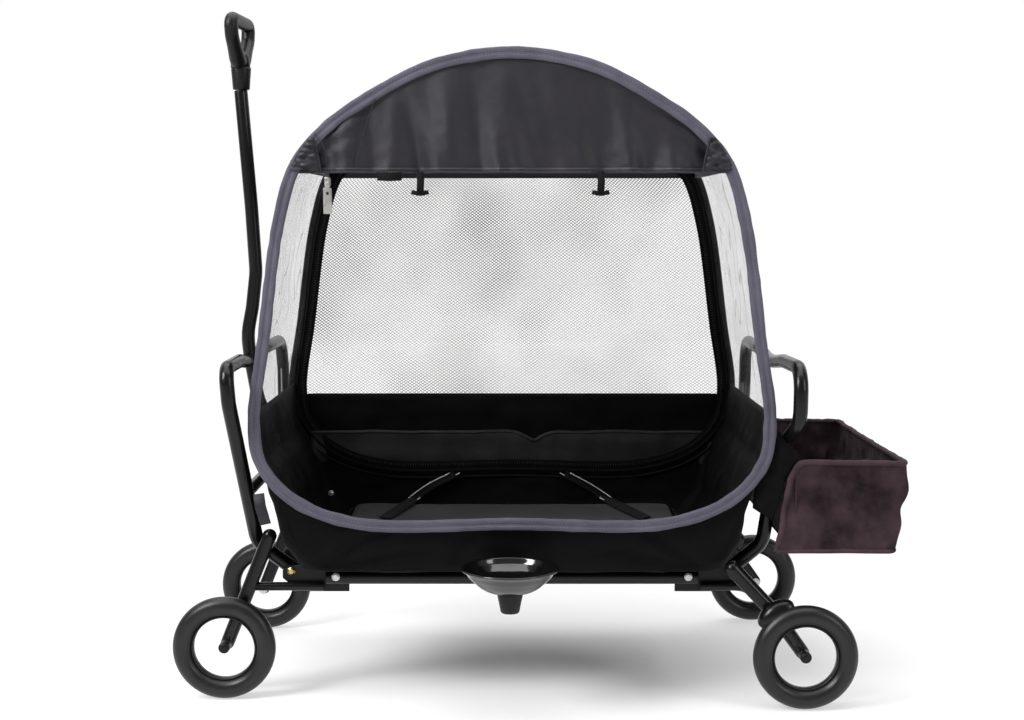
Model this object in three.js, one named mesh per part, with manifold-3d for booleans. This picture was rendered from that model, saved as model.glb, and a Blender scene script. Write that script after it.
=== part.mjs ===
// A large pet stroller: a four-wheeled wagon with a fabric tub, a pop-up mesh tent, a pull pole,
// a rear basket and a feeding bowl. Millimetres, +Z up. The front (pole) end is -X, the open
// doorway is on the -Y side. The origin is under the middle of the whole object, on the floor.
import * as THREE from 'three';
import { mergeVertices } from 'three/addons/utils/BufferGeometryUtils.js';
import Module from 'manifold-3d';

const wasm = await Module();
wasm.setup();

// ---- driving dimensions, in a design frame centred between the axles and the two sides ----
const GAP = 0.3; // between solids that touch
const ENDS = { front: -1, rear: 1 };
const SIDES = { near: -1, far: 1 };

const ORIGIN = new THREE.Vector3(36, -48.68, 0); // the object's base centre in the design frame

const WHEEL = { radius: 82, tyreRadius: 15.5, discRadius: 50.4, discHalf: 1.5, hubRadius: 9 };
const AXLE = {
  front: { x: -458, y: 215 },
  rear: { x: 457, y: 271 },
  z: 82,
  radius: 4,
  bore: 4.4,
  headRadius: 8,
  headThick: 4,
};
const LEG = {
  radius: 11.5,
  side: 1.5, // between the tyre's flank and the leg
  bend: 40,
  front: [[-458, 82], [-388, 256]], // [x, z] from the axle up to the head
  rear: [[457, 82], [411, 146], [346, 215]],
};
// short tubes that carry the legs
const STUB = { radius: 7, z: 174, cornerX: 368, endX: 302, y: 186, bend: 20 };
const RAIL = { radius: 11, y: 190, z: 190, half: 298 };
const CROSS = { radius: 10, x: 300 };
const PLATE = { inner: 174.6, thick: 4, from: 262, to: 369, low: 164, high: 206 };
const PIVOT = { x: 355, y: 160, z: 197, shank: 3, clearance: 0.4, head: 6.5 };
const RAIL_BOLT = { x: 281, z: 193 };

const FRAME_TUBE = 11.2; // radius of the end frames and the pole
const POLE_BEND = 120;
const END_FRAME = { kneeY: 160, kneeZ: 240, shoulderY: 285, barZ: 534, dip: 12, bend: 38 };
const END_FRAME_X = {
  front: { knee: -412, shoulder: -432, bar: -436, middle: -449 },
  rear: { knee: 405, shoulder: 440, bar: 441, middle: 441 },
};
const SHOULDER_Z = { front: 480, rear: 452 };
const REAR_WAIST = [422, 185, 385]; // the rear arms stay inboard of the basket up to here
const POLE = [[-396, 316], [-396, 340], [-412, 400], [-434, 458], [-446, 527], [-450, 566],
  [-441, 612], [-434, 672], [-440, 780], [-455, 976]];
const LOW_CROSS = { x: -419.5, z: 330, radius: 10, reach: 230 };
const COLLAR = { low: 978, high: 1014, radius: 15.5, neck: 12.5 };
const GRIP = { x: -455, low: 1014.3, high: 1101, half: 70, radius: 10.5, turn: -5, draw: 14, bend: 22 };

const TUB = { bottom: 207, rim: 455, wall: 5, sideLow: 208, side: 249 };
const TUB_END = [[207, 333], [255, 361], [300, 368], [455, 404]]; // [z, half length]
const TUB_BELLY = 280; // below this height the tub's long sides round under
const TUB_CORNER = 0.24; // corner radius as a share of the half length and of the half width
const BOARD = { low: 212.5, high: 218.5, half: 308, side: 196 };
const MAT = { low: 219, high: 244, half: 296, side: 188 };
// right half of the tent's hoop, outer edge, from the crown down to the middle of the sill
const HOOP_HALF = [[0, 1021], [60, 1016], [138, 996], [230, 947], [288, 906], [337, 848],
  [365, 760], [392, 570], [408, 448], [397, 379], [346, 320], [248, 282], [0, 280]];
const HOOP = { y: 250.3, depth: 8, band: 15, zipBand: 33, farWider: 1.015 };
const CLOTH = 2; // thickness of the fabric and mesh solids
const VISOR = { hem: 832, y: 252 };
const ROOF_LOW = 842;
const MESH_LOW = 456;
const ZIP_PULL = { x: -335, low: 772, high: 828, width: 11, thick: 3 };

const BASKET = { in: 438, out: 612, half: 255, low: 242, high: 386, wall: 5 };
const BOWL = { x: -3, y: -318, rim: 235, radius: 75.5, depth: 38, wall: 3, base: 24 };
const BOWL_STEM = { top: 196.7, low: 165, radius: 20, foot: 14 };
const BRAKE = { inner: 87, outer: 99, lip: 52, spread: 15, lean: 34, side: 17.5, cheek: 5, arm: 22 };

// ---- materials ----
const paint = (color, roughness, metalness = 0) =>
  new THREE.MeshStandardMaterial({ color, roughness, metalness });
const steel = paint('#2b2a2d', 0.42, 0.3);
const moulded = paint('#1d1c1e', 0.5);
const rubber = paint('#333134', 0.62);
const clear = new THREE.MeshStandardMaterial({
  color: '#f4f6f7', roughness: 0.05, transparent: true, opacity: 0.2,
});
const bright = paint('#c9c8c4', 0.28, 1);
const brass = paint('#b79a58', 0.32, 1);
const greyCloth = paint('#3f3d46', 0.85);
const binding = paint('#605d6b', 0.8);
const blackCloth = paint('#141316', 0.92);
const netting = paint('#8d8d90', 0.9);
const brownCloth = paint('#34282b', 0.9);
const gloss = paint('#151416', 0.16);

// ---- helpers ----
const stroller = new THREE.Group();
stroller.position.copy(ORIGIN).negate();

function add(name, geometry, material) {
  const mesh = new THREE.Mesh(geometry, material);
  mesh.name = name;
  stroller.add(mesh);
  return mesh;
}

function solid(geometry) {
  const bare = geometry.clone();
  bare.deleteAttribute('normal');
  bare.deleteAttribute('uv');
  const merged = mergeVertices(bare, 1e-3);
  return new wasm.Manifold(new wasm.Mesh({
    numProp: 3,
    vertProperties: new Float32Array(merged.attributes.position.array),
    triVerts: new Uint32Array(merged.index.array),
  }));
}

function shape(manifold) {
  const mesh = manifold.getMesh();
  const geometry = new THREE.BufferGeometry();
  geometry.setAttribute('position', new THREE.BufferAttribute(mesh.vertProperties, 3));
  geometry.setIndex(new THREE.BufferAttribute(mesh.triVerts, 1));
  return geometry;
}

const join = (...parts) => shape(parts.map(solid).reduce((all, part) => all.add(part)));
const cut = (from, ...tools) => shape(tools.map(solid).reduce((all, t) => all.subtract(t), solid(from)));

/** A path of straight runs joined by round bends. Each run is one step and each bend is a few. */
class BentPath extends THREE.Curve {
  constructor(corners, bend, perBend = 3) {
    super();
    this.stations = [];
    const last = corners.length - 1;
    const along = (i) => corners[i + 1].clone().sub(corners[i]).normalize();
    this.put(corners[0], along(0));
    for (let i = 1; i < last; i++) {
      const into = along(i - 1);
      const out = along(i);
      const half = into.angleTo(out) / 2;
      if (half < 1e-3) continue;
      const room = Math.min(corners[i].distanceTo(corners[i - 1]), corners[i].distanceTo(corners[i + 1]));
      const reach = Math.min(bend * Math.tan(half), room * 0.49);
      const radius = reach / Math.tan(half);
      const start = corners[i].clone().addScaledVector(into, -reach);
      const normal = out.clone().sub(into.clone().multiplyScalar(into.dot(out))).normalize();
      const centre = start.clone().addScaledVector(normal, radius);
      for (let k = 0; k <= perBend; k++) {
        const turn = (2 * half * k) / perBend;
        const arm = normal.clone().multiplyScalar(-Math.cos(turn)).addScaledVector(into, Math.sin(turn));
        const tangent = into.clone().multiplyScalar(Math.cos(turn)).addScaledVector(normal, Math.sin(turn));
        this.put(centre.clone().addScaledVector(arm, radius), tangent);
      }
    }
    this.put(corners[last], along(last - 1));
  }

  put(point, tangent) {
    this.stations.push({ point: point.clone(), tangent: tangent.clone().normalize() });
  }

  station(u) {
    return this.stations[Math.round(u * (this.stations.length - 1))];
  }

  getPoint(u) {
    return this.station(u).point.clone();
  }

  getPointAt(u) {
    return this.getPoint(u);
  }

  getTangentAt(u) {
    return this.station(u).tangent.clone();
  }
}

const vec = (x, y, z) => new THREE.Vector3(x, y, z);

function tube(corners, radius, bend = 40, sides = 8) {
  const path = new BentPath(corners, bend);
  const ring = new THREE.Shape();
  for (let i = 0; i < sides; i++) {
    const a = (i / sides) * 2 * Math.PI;
    const move = i ? 'lineTo' : 'moveTo';
    ring[move](radius * Math.cos(a), radius * Math.sin(a));
  }
  return new THREE.ExtrudeGeometry(ring, { extrudePath: path, steps: path.stations.length - 1 });
}

/** A turned solid about a line along Y through (x, z). The profile is [radius, y] pairs. */
function turnedY(profile, x, z, segments = 20) {
  const points = profile.map(([r, y]) => new THREE.Vector2(r, y));
  return new THREE.LatheGeometry(points, segments).translate(x, 0, z);
}

/** A turned solid about a vertical line through (x, y). The profile is [radius, z] pairs. */
function turnedZ(profile, x, y, segments = 28) {
  const points = profile.map(([r, z]) => new THREE.Vector2(r, z));
  return new THREE.LatheGeometry(points, segments).rotateX(Math.PI / 2).translate(x, y, 0);
}

const ball = (at, radius) => new THREE.SphereGeometry(radius, 8, 6).translate(at.x, at.y, at.z);

function box([x0, x1], [y0, y1], [z0, z1]) {
  return new THREE.BoxGeometry(x1 - x0, y1 - y0, z1 - z0)
    .translate((x0 + x1) / 2, (y0 + y1) / 2, (z0 + z1) / 2);
}

/** A closed outline in X and Z. A hole is given in the same direction as the outline round it. */
function outline(points, hole) {
  const drawn = new THREE.Shape(points.map(([x, z]) => new THREE.Vector2(x, z)));
  if (hole) drawn.holes.push(new THREE.Path(hole.map(([x, z]) => new THREE.Vector2(x, z)).reverse()));
  return drawn;
}

/** An outline drawn in X and Z, given a thickness along Y from y0 to y1. */
function slabY(drawn, y0, y1) {
  return new THREE.ExtrudeGeometry(drawn, { depth: y1 - y0, bevelEnabled: false, curveSegments: 6 })
    .rotateX(Math.PI / 2).translate(0, y1, 0);
}

/** A rounded rectangle in X and Y, given a height from z0 to z1. */
function slabZ(half, side, corner, z0, z1, steps = 1) {
  const drawn = new THREE.Shape();
  const turns = [[1, -1, -0.5], [1, 1, 0], [-1, 1, 0.5], [-1, -1, 1]];
  for (const [sx, sy, from] of turns) {
    const start = from * Math.PI;
    drawn.absarc(sx * (half - corner), sy * (side - corner), corner, start, start + Math.PI / 2);
  }
  drawn.closePath();
  return new THREE.ExtrudeGeometry(drawn, { depth: z1 - z0, steps, bevelEnabled: false, curveSegments: 3 })
    .translate(0, 0, z0);
}

// ---- the hoop's outline ----
const hoopOuter = (() => {
  const right = HOOP_HALF;
  const left = right.slice(1, -1).reverse().map(([x, z]) => [-x, z]);
  const loop = [...right, ...left].map(([x, z]) => new THREE.Vector3(x, 0, z));
  const curve = new THREE.CatmullRomCurve3(loop, true, 'centripetal');
  return curve.getSpacedPoints(48).slice(0, -1).map((p) => [p.x, p.z]);
})();

/** The closed outline moved inwards by a distance. */
function inset(points, distance) {
  const n = points.length;
  return points.map(([x, z], i) => {
    const [ax, az] = points[(i + n - 1) % n];
    const [bx, bz] = points[(i + 1) % n];
    const length = Math.hypot(bx - ax, bz - az);
    return [x + ((bz - az) / length) * distance, z - ((bx - ax) / length) * distance];
  });
}

// ---- wheels ----
function tyre(x, y) {
  const { radius, tyreRadius: r } = WHEEL;
  const sides = 8;
  const profile = [];
  for (let i = 0; i <= sides; i++) {
    const a = (i / sides) * 2 * Math.PI;
    profile.push([radius - r + r * Math.cos(a), y + r * Math.sin(a)]);
  }
  return turnedY(profile, x, AXLE.z, 32);
}

function disc(x, y) {
  const { discRadius, discHalf, hubRadius } = WHEEL;
  const bore = hubRadius + GAP;
  const rim = 6; // half-width of the moulded rim that the tyre sits on
  return turnedY([
    [bore, y - discHalf], [discRadius - 2, y - discHalf], [discRadius - 2, y - rim],
    [discRadius, y - rim], [discRadius, y + rim], [discRadius - 2, y + rim],
    [discRadius - 2, y + discHalf], [bore, y + discHalf], [bore, y - discHalf],
  ], x, AXLE.z, 24);
}

/** The hub has a blind bore that opens towards the leg; out is -1 or 1, away from the leg. */
function hub(x, y, out) {
  const { hubRadius: r } = WHEEL;
  const end = (d) => y + out * d;
  const profile = [[0, end(8)], [r, end(8)], [r, end(-15)], [AXLE.bore, end(-15)],
    [AXLE.bore, end(5)], [0, end(5)]];
  return turnedY(out > 0 ? profile.reverse() : profile, x, AXLE.z);
}

const legPlane = (end) => AXLE[end].y - WHEEL.tyreRadius - LEG.side - LEG.radius;
/** The leg's x at a height, on its run nearest the head. */
function legX(end, z) {
  const [[x0, z0], [x1, z1]] = LEG[end].slice(-2);
  return x0 + ((x1 - x0) * (z - z0)) / (z1 - z0);
}

function leg(end, side) {
  const y = side * legPlane(end);
  const run = LEG[end].map(([x, z]) => vec(x, y, z));
  const stub = tube([
    vec(legX(end, STUB.z), y, STUB.z),
    vec(ENDS[end] * STUB.cornerX, side * STUB.y, STUB.z),
    vec(ENDS[end] * STUB.endX, side * STUB.y, STUB.z),
  ], STUB.radius, STUB.bend);
  const ends = [run[0], run.at(-1)].map((at) => ball(at, LEG.radius));
  const body = join(tube(run, LEG.radius, LEG.bend), ...ends, stub);
  const reach = LEG.radius + 1;
  const axleHole = turnedY([[0, y - reach], [AXLE.bore, y - reach], [AXLE.bore, y + reach], [0, y + reach]],
    AXLE[end].x, AXLE.z);
  return cut(body, axleHole);
}

/** An axle bolt: its head is on the leg's inner side and its shank ends inside the hub. */
function axle(end, side) {
  const y = side * legPlane(end);
  const at = (d) => y - side * d; // d is measured from the leg's middle towards the stroller's middle
  const head = LEG.radius + GAP;
  const tip = -(AXLE[end].y - legPlane(end)) - 4;
  const profile = [[0, at(tip)], [AXLE.radius, at(tip)], [AXLE.radius, at(head)],
    [AXLE.headRadius, at(head)], [AXLE.headRadius, at(head + AXLE.headThick)],
    [0, at(head + AXLE.headThick)]];
  return turnedY(side > 0 ? profile.reverse() : profile, AXLE[end].x, AXLE.z);
}

/** A saddle over the rear tyre, with one cheek down the tyre's outer flank: the foot brake. */
function brake(side) {
  const middle = THREE.MathUtils.degToRad(90 + BRAKE.lean);
  const spread = THREE.MathUtils.degToRad(BRAKE.spread);
  const sector = (r0, r1, half) => {
    const points = [];
    const steps = 6;
    for (let i = 0; i <= steps; i++) {
      const a = middle - half + (2 * half * i) / steps;
      points.push([AXLE.rear.x + r1 * Math.cos(a), AXLE.z + r1 * Math.sin(a)]);
    }
    for (let i = steps; i >= 0; i--) {
      const a = middle - half + (2 * half * i) / steps;
      points.push([AXLE.rear.x + r0 * Math.cos(a), AXLE.z + r0 * Math.sin(a)]);
    }
    return outline(points);
  };
  const span = (a, b) => (side > 0 ? [a, b] : [-b, -a]);
  const out = AXLE.rear.y + BRAKE.side;
  const inner = legPlane('rear') + LEG.radius + 1;
  const bridge = slabY(sector(BRAKE.inner, BRAKE.outer, spread), ...span(inner, out));
  const cheek = slabY(sector(BRAKE.lip, BRAKE.outer, spread * 0.9), ...span(out - 0.5, out + BRAKE.cheek));
  const hump = sector(BRAKE.outer - 1, BRAKE.outer + BRAKE.arm, spread * 0.45);
  const back = slabY(hump, ...span(inner, out - 8));
  return join(bridge, cheek, back);
}

for (const [endName, end] of Object.entries(ENDS)) {
  for (const [sideName, side] of Object.entries(SIDES)) {
    const { x } = AXLE[endName];
    const y = side * AXLE[endName].y;
    const tag = `${endName}_${sideName}`;
    add(`tyre_${tag}`, tyre(x, y), rubber);
    add(`wheel_disc_${tag}`, disc(x, y), clear);
    add(`hub_${tag}`, hub(x, y, side), moulded);
    add(`leg_${tag}`, leg(endName, side), steel);
    add(`axle_${tag}`, axle(endName, side), bright);
    if (end > 0) add(`brake_${sideName}`, brake(side), moulded);
  }
}

// ---- base frame ----
const shank = (x, z, radius, y0, y1) =>
  turnedY([[0, y0], [radius, y0], [radius, y1], [0, y1]], x, z, 16);

for (const [name, side] of Object.entries(SIDES)) {
  const y = side * RAIL.y;
  const rail = tube([vec(-RAIL.half, y, RAIL.z), vec(RAIL.half, y, RAIL.z)], RAIL.radius);
  const holes = [-1, 1].map((end) =>
    shank(end * RAIL_BOLT.x, RAIL_BOLT.z, PIVOT.shank + PIVOT.clearance, y - 20, y + 20));
  add(`rail_${name}`, cut(rail, ...holes), steel);
}

for (const [name, end] of Object.entries(ENDS)) {
  const x = end * CROSS.x;
  const reach = PLATE.inner - GAP;
  add(`cross_tube_${name}`, tube([vec(x, -reach, RAIL.z), vec(x, reach, RAIL.z)], CROSS.radius), steel);
}

/** A corner plate under the tub's edge, drilled for its rail bolt and its pivot bolt. */
function cornerPlate(end, side) {
  const { inner, thick, from, to, low, high } = PLATE;
  const points = [[from, low], [to - 26, low], [to, low + 22], [to, high - 8], [to - 8, high],
    [from + 20, high], [from, high - 14]].map(([x, z]) => [end * x, z]);
  if (end < 0) points.reverse();
  const y = side > 0 ? [inner, inner + thick] : [-inner - thick, -inner];
  const plate = slabY(outline(points), ...y);
  const hole = (x, z) => shank(end * x, z, PIVOT.shank + PIVOT.clearance, y[0] - 2, y[1] + 2);
  return cut(plate, hole(RAIL_BOLT.x, RAIL_BOLT.z), hole(PIVOT.x, PIVOT.z));
}

/** A bolt along Y with a domed head on the outside. */
function bolt(x, z, side, headAt, tipAt) {
  const { head, shank: r } = PIVOT;
  const at = (y) => side * y;
  const profile = [[0, at(tipAt)], [r, at(tipAt)], [r, at(headAt)], [head, at(headAt)],
    [head, at(headAt + 2)], [head * 0.6, at(headAt + 4)], [0, at(headAt + 4)]];
  return turnedY(side < 0 ? profile.reverse() : profile, x, z, 16);
}

for (const [endName, end] of Object.entries(ENDS)) {
  for (const [sideName, side] of Object.entries(SIDES)) {
    const tag = `${endName}_${sideName}`;
    const face = PLATE.inner + PLATE.thick + GAP;
    add(`corner_bracket_${tag}`, cornerPlate(end, side), moulded);
    add(`pivot_bolt_${tag}`, bolt(end * PIVOT.x, PIVOT.z, side, face, PIVOT.y - 13), brass);
    add(`rail_bolt_${tag}`,
      bolt(end * RAIL_BOLT.x, RAIL_BOLT.z, side, RAIL.y + RAIL.radius + GAP, PLATE.inner - 3), bright);
  }
}

// ---- end frames and pole ----
/** One side of an end frame, from its pivot up to the middle of its top bar. */
function armCorners(end, side) {
  const { kneeY, kneeZ, shoulderY, barZ, dip } = END_FRAME;
  const x = END_FRAME_X[end];
  const e = ENDS[end];
  return [
    vec(e * (PIVOT.x - 12), side * kneeY, PIVOT.z - 9),
    vec(x.knee, side * kneeY, kneeZ),
    ...(e > 0 ? [vec(REAR_WAIST[0], side * REAR_WAIST[1], REAR_WAIST[2])] : []),
    vec(x.shoulder, side * shoulderY, SHOULDER_Z[end]),
    vec(x.bar, side * shoulderY, barZ),
    vec((x.bar + x.middle) / 2, side * shoulderY * 0.45, barZ - 2),
    vec(x.middle, side * 30, barZ - dip),
    vec(x.middle, 0, barZ - dip),
  ];
}

const pivotHole = (end, side) => {
  const y = side * PIVOT.y;
  return shank(ENDS[end] * PIVOT.x, PIVOT.z, PIVOT.shank + PIVOT.clearance, y - 20, y + 20);
};

const poleCorners = POLE.map(([x, z]) => vec(x, 0, z));
const poleClearance = tube(poleCorners, FRAME_TUBE + GAP, POLE_BEND);

for (const [name, side] of Object.entries(SIDES)) {
  const arm = tube(armCorners('front', side), FRAME_TUBE, END_FRAME.bend);
  add(`front_frame_${name}`, cut(arm, poleClearance, pivotHole('front', side)), steel);
}

/** Half of the rear hoop, without the middle point that both halves share. */
const rearHalf = (side) => armCorners('rear', side).slice(0, -1);
const rearHoop = tube([...rearHalf(-1), ...rearHalf(1).reverse()], FRAME_TUBE, END_FRAME.bend);
add('rear_frame', cut(rearHoop, pivotHole('rear', -1), pivotHole('rear', 1)), steel);

const lowCrossEnds = [-1, 1].map((side) => vec(LOW_CROSS.x, side * LOW_CROSS.reach, LOW_CROSS.z));
const lowCross = tube(lowCrossEnds, LOW_CROSS.radius);
const armClearance = (side) => tube(armCorners('front', side).slice(0, 4), FRAME_TUBE + GAP, END_FRAME.bend);
const lowCrossCut = solid(lowCross).subtract(solid(armClearance(-1))).subtract(solid(armClearance(1)));
const middlePiece = lowCrossCut.decompose().sort((a, b) => b.volume() - a.volume())[0];
add('front_frame_low_tube', shape(middlePiece), steel);

add('pole', tube(poleCorners, FRAME_TUBE, POLE_BEND), steel);
add('grip_collar', turnedZ([[0, COLLAR.low], [COLLAR.neck, COLLAR.low], [COLLAR.radius, COLLAR.low + 10],
  [COLLAR.radius, COLLAR.high - 4], [COLLAR.neck, COLLAR.high], [0, COLLAR.high]], GRIP.x + 1, 0, 20), moulded);

/** The hand grip: a closed D of round section across the stroller, on a short neck. */
function grip() {
  const { x, low, high, half, radius, turn, draw, bend } = GRIP;
  const top = high - radius;
  const foot = low + radius + 2;
  const side = half - radius;
  const lower = (sign) => vec(x, sign * (side - draw), foot + draw + 2);
  const ring = tube([vec(x, 0, top), vec(x, side, top), lower(1), vec(x, 0, foot), lower(-1),
    vec(x, -side, top), vec(x, 0, top)], radius, bend);
  const neck = turnedZ([[0, low], [COLLAR.neck, low], [radius, foot], [0, foot]], x, 0, 12);
  return join(ring, neck).translate(-x, 0, 0).rotateZ(THREE.MathUtils.degToRad(turn)).translate(x, 0, 0);
}
add('d_grip', grip(), moulded);

// ---- tub ----
function tubEnd(z) {
  const above = Math.max(TUB_END.findIndex(([level]) => level >= z), 1);
  const [[z0, x0], [z1, x1]] = [TUB_END[above - 1], TUB_END[above]];
  return x0 + ((x1 - x0) * (z - z0)) / (z1 - z0);
}
const tubSide = (z) => {
  if (z >= TUB_BELLY) return TUB.side;
  const drop = (TUB_BELLY - z) / (TUB_BELLY - TUB.bottom);
  return TUB.sideLow + (TUB.side - TUB.sideLow) * Math.sqrt(1 - drop * drop);
};

/** The tub's outer form, pulled in by a wall thickness, from z0 up to z1. */
function tubForm(wall, z0, z1) {
  const unit = 100;
  const form = slabZ(unit, unit, unit * TUB_CORNER, z0, z1, 5);
  const p = form.attributes.position;
  for (let i = 0; i < p.count; i++) {
    const z = Math.min(Math.max(p.getZ(i), TUB.bottom), TUB.rim);
    p.setX(i, (p.getX(i) / unit) * (tubEnd(z) - wall));
    p.setY(i, (p.getY(i) / unit) * (tubSide(z) - wall));
  }
  return form;
}

/** The doorways dip into the tub's long sides along the foot of the hoops. */
const doorCut = (side) => {
  const y = side > 0 ? [TUB.side - 12, TUB.side + 10] : [-TUB.side - 10, -TUB.side + 12];
  return slabY(outline(inset(hoopOuter, 2)), ...y);
};
const tubShell = solid(tubForm(0, TUB.bottom, TUB.rim))
  .subtract(solid(tubForm(TUB.wall, TUB.bottom + TUB.wall, TUB.rim + 5)))
  .subtract(solid(doorCut(-1))).subtract(solid(doorCut(1)));
add('tub_shell', shape(tubShell), blackCloth);
add('floor_board', slabZ(BOARD.half, BOARD.side, 40, BOARD.low, BOARD.high), moulded);
add('floor_mat', slabZ(MAT.half, MAT.side, 36, MAT.low, MAT.high), blackCloth);

// ---- tent ----
const farOuter = hoopOuter.map(([x, z]) => [x * HOOP.farWider, z]);
const ringSlab = (line, band, y0, y1) => slabY(outline(line, inset(line, band)), y0, y1);
add('near_hoop', ringSlab(hoopOuter, HOOP.band, -HOOP.y - HOOP.depth, -HOOP.y), binding);
add('far_zip_frame', ringSlab(farOuter, HOOP.zipBand, HOOP.y, HOOP.y + HOOP.depth), blackCloth);

const inside = (points, gap) => slabY(outline(inset(points, gap)), -HOOP.y - 20, HOOP.y + 20);
const farPanel = slabY(outline(inset(farOuter, HOOP.zipBand + GAP)), VISOR.y, VISOR.y + CLOTH);
const above = (z) => box([-500, 500], [-300, 300], [z, 1200]);
const between = (z0, z1, x) => box(x, [-300, 300], [z0, z1]);
add('far_mesh', farPanel, netting);

const visorPanel = slabY(outline(inset(hoopOuter, HOOP.band + GAP)), -VISOR.y - CLOTH, -VISOR.y);
add('visor', shape(solid(visorPanel).intersect(solid(above(VISOR.hem)))), greyCloth);

const skin = solid(slabY(outline(inset(hoopOuter, 3)), -HOOP.y + GAP, HOOP.y - GAP))
  .subtract(solid(inside(hoopOuter, 3 + CLOTH)));
add('roof', shape(skin.intersect(solid(above(ROOF_LOW)))), greyCloth);
for (const [name, end] of Object.entries(ENDS)) {
  const x = end > 0 ? [0, 500] : [-500, 0];
  add(`mesh_${name}`, shape(skin.intersect(solid(between(MESH_LOW, ROOF_LOW - GAP, x)))), netting);
}
add('zip_pull', box([ZIP_PULL.x, ZIP_PULL.x + ZIP_PULL.width],
  [HOOP.y - 5 - ZIP_PULL.thick, HOOP.y - 5], [ZIP_PULL.low, ZIP_PULL.high]), bright);

// ---- basket ----
const basketOuter = slabZ((BASKET.out - BASKET.in) / 2, BASKET.half, 8, BASKET.low, BASKET.high);
const basketInner = slabZ((BASKET.out - BASKET.in) / 2 - BASKET.wall, BASKET.half - BASKET.wall, 6,
  BASKET.low + BASKET.wall, BASKET.high + 5);
const basket = cut(basketOuter, basketInner).translate((BASKET.in + BASKET.out) / 2, 0, 0);
add('basket', basket, brownCloth);

// ---- feeding bowl on its stem and arm ----
function bowl() {
  const { x, y, rim, radius, depth, wall, base } = BOWL;
  const low = rim - depth;
  return turnedZ([[0, low], [base, low], [base + 22, low + 9], [radius - 12, low + 24], [radius, rim - 3],
    [radius, rim], [radius - wall - 2, rim], [radius - 14 - wall, low + 26 + wall],
    [base + 18, low + 9 + wall], [base - 2, low + wall], [0, low + wall]], x, y);
}
add('bowl', bowl(), gloss);

function bowlArm() {
  const { x, y } = BOWL;
  const { top, low, radius, foot } = BOWL_STEM;
  const stem = turnedZ([[0, low], [foot, low], [radius, top], [0, top]], x, y, 20);
  const reach = RAIL.y + RAIL.radius + GAP;
  const arm = tube([vec(x, y, 176), vec(x, -reach - 10, 176)], 8);
  const clamp = box([x - 17, x + 17], [-reach - 12, -RAIL.y + 14], [169, 206.4]);
  const grip = tube([vec(x - 30, -RAIL.y, RAIL.z), vec(x + 30, -RAIL.y, RAIL.z)], RAIL.radius + GAP);
  return cut(join(stem, arm, clamp), grip);
}
add('bowl_bracket', bowlArm(), moulded);

export default stroller;
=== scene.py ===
"""A pet stroller: a folding wagon with a fabric tub, a pop-up mesh tent, a pull pole and a basket.

Shapes are drawn in millimetres, in a design frame centred between the two rails: -X is the pole
end, +X the basket end, -Y the doorway side and +Z up. place() turns them into the row frame.
"""
import math

import bmesh
import bpy
import numpy as np
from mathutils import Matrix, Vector


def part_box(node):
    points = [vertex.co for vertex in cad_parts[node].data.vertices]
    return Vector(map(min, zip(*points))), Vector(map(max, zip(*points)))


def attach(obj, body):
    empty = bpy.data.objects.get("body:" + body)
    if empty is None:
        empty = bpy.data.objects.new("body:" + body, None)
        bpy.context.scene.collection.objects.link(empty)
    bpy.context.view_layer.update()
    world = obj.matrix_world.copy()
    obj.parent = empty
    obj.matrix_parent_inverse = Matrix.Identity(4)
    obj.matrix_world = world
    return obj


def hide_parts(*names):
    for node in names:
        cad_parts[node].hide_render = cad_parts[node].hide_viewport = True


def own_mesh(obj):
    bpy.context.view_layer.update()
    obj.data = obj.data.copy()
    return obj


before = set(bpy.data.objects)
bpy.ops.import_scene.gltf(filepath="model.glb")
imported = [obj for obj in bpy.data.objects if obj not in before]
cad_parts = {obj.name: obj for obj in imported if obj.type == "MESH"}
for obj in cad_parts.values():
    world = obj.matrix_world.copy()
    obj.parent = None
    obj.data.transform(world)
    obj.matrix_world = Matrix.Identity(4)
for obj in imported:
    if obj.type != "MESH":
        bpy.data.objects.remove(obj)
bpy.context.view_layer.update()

# ---- driving dimensions, in millimetres, with GRIP_TURN in degrees and EYE_PITCH in radians ----
ENDS = {"front": -1, "rear": 1}
SIDES = {"near": -1, "far": 1}
AXLE_X = {"front": -458, "rear": 457}
AXLE_Y = {"front": 215, "rear": 271}
AXLE_Z = 82
LEG_Y = {"front": 186.5, "rear": 242.5}
LEG_RUN = {"front": [(-458, 82), (-388, 256)], "rear": [(457, 82), (411, 146), (346, 215)]}
STUB_Y, STUB_Z = 186, 174
RAIL_Y, RAIL_Z, RAIL_HALF = 190, 190, 298
CROSS_X, CROSS_HALF = 300, 174.3
PIVOT_X, PIVOT_Z = 355, 197
FRAME_RADIUS, ARM_BEND = 11.2, 38
GRIP_X, GRIP_TURN = -455, -5
ARM_X = {"front": (-412, -432, -436, -449), "rear": (405, 440, 441, 441)}
SHOULDER_Z = {"front": 480, "rear": 452}
REAR_WAIST = (422, 185, 385)
POLE = [(-396, 316), (-396, 340), (-412, 400), (-434, 458), (-446, 527), (-450, 566),
        (-441, 612), (-434, 672), (-440, 780), (-455, 976)]
LOW_CROSS_X, LOW_CROSS_Z = -419.5, 330
TUB_LOW, TUB_RIM, TUB_BELLY, TUB_CLOTH = 207, 455, 280, 3
TUB_SIDE = (226, 249)
TUB_END = [(207, 333), (255, 361), (300, 368), (355, 383), (379, 396), (455, 406)]
TUB_INNER = [(207, 296), (255, 336), (300, 352), (320, 358), (379, 391), (448, 400), (455, 400)]
MAT_LOW, MAT_TOP, MAT_HALF, MAT_SWELL = 219, 244, (292, 184), 5
HOOP_HALF = [(0, 1021), (60, 1016), (138, 996), (230, 947), (288, 906), (337, 848), (365, 760),
             (392, 570), (408, 448), (397, 379), (346, 320), (248, 282), (0, 280)]
HOOP_WIDEST = (408, 448)
HOOP_Y, COVER_HALF = 254.3, 248
FAR_WIDER = 1.02
BAND, ZIP_BAND = 17.5, 33
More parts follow.
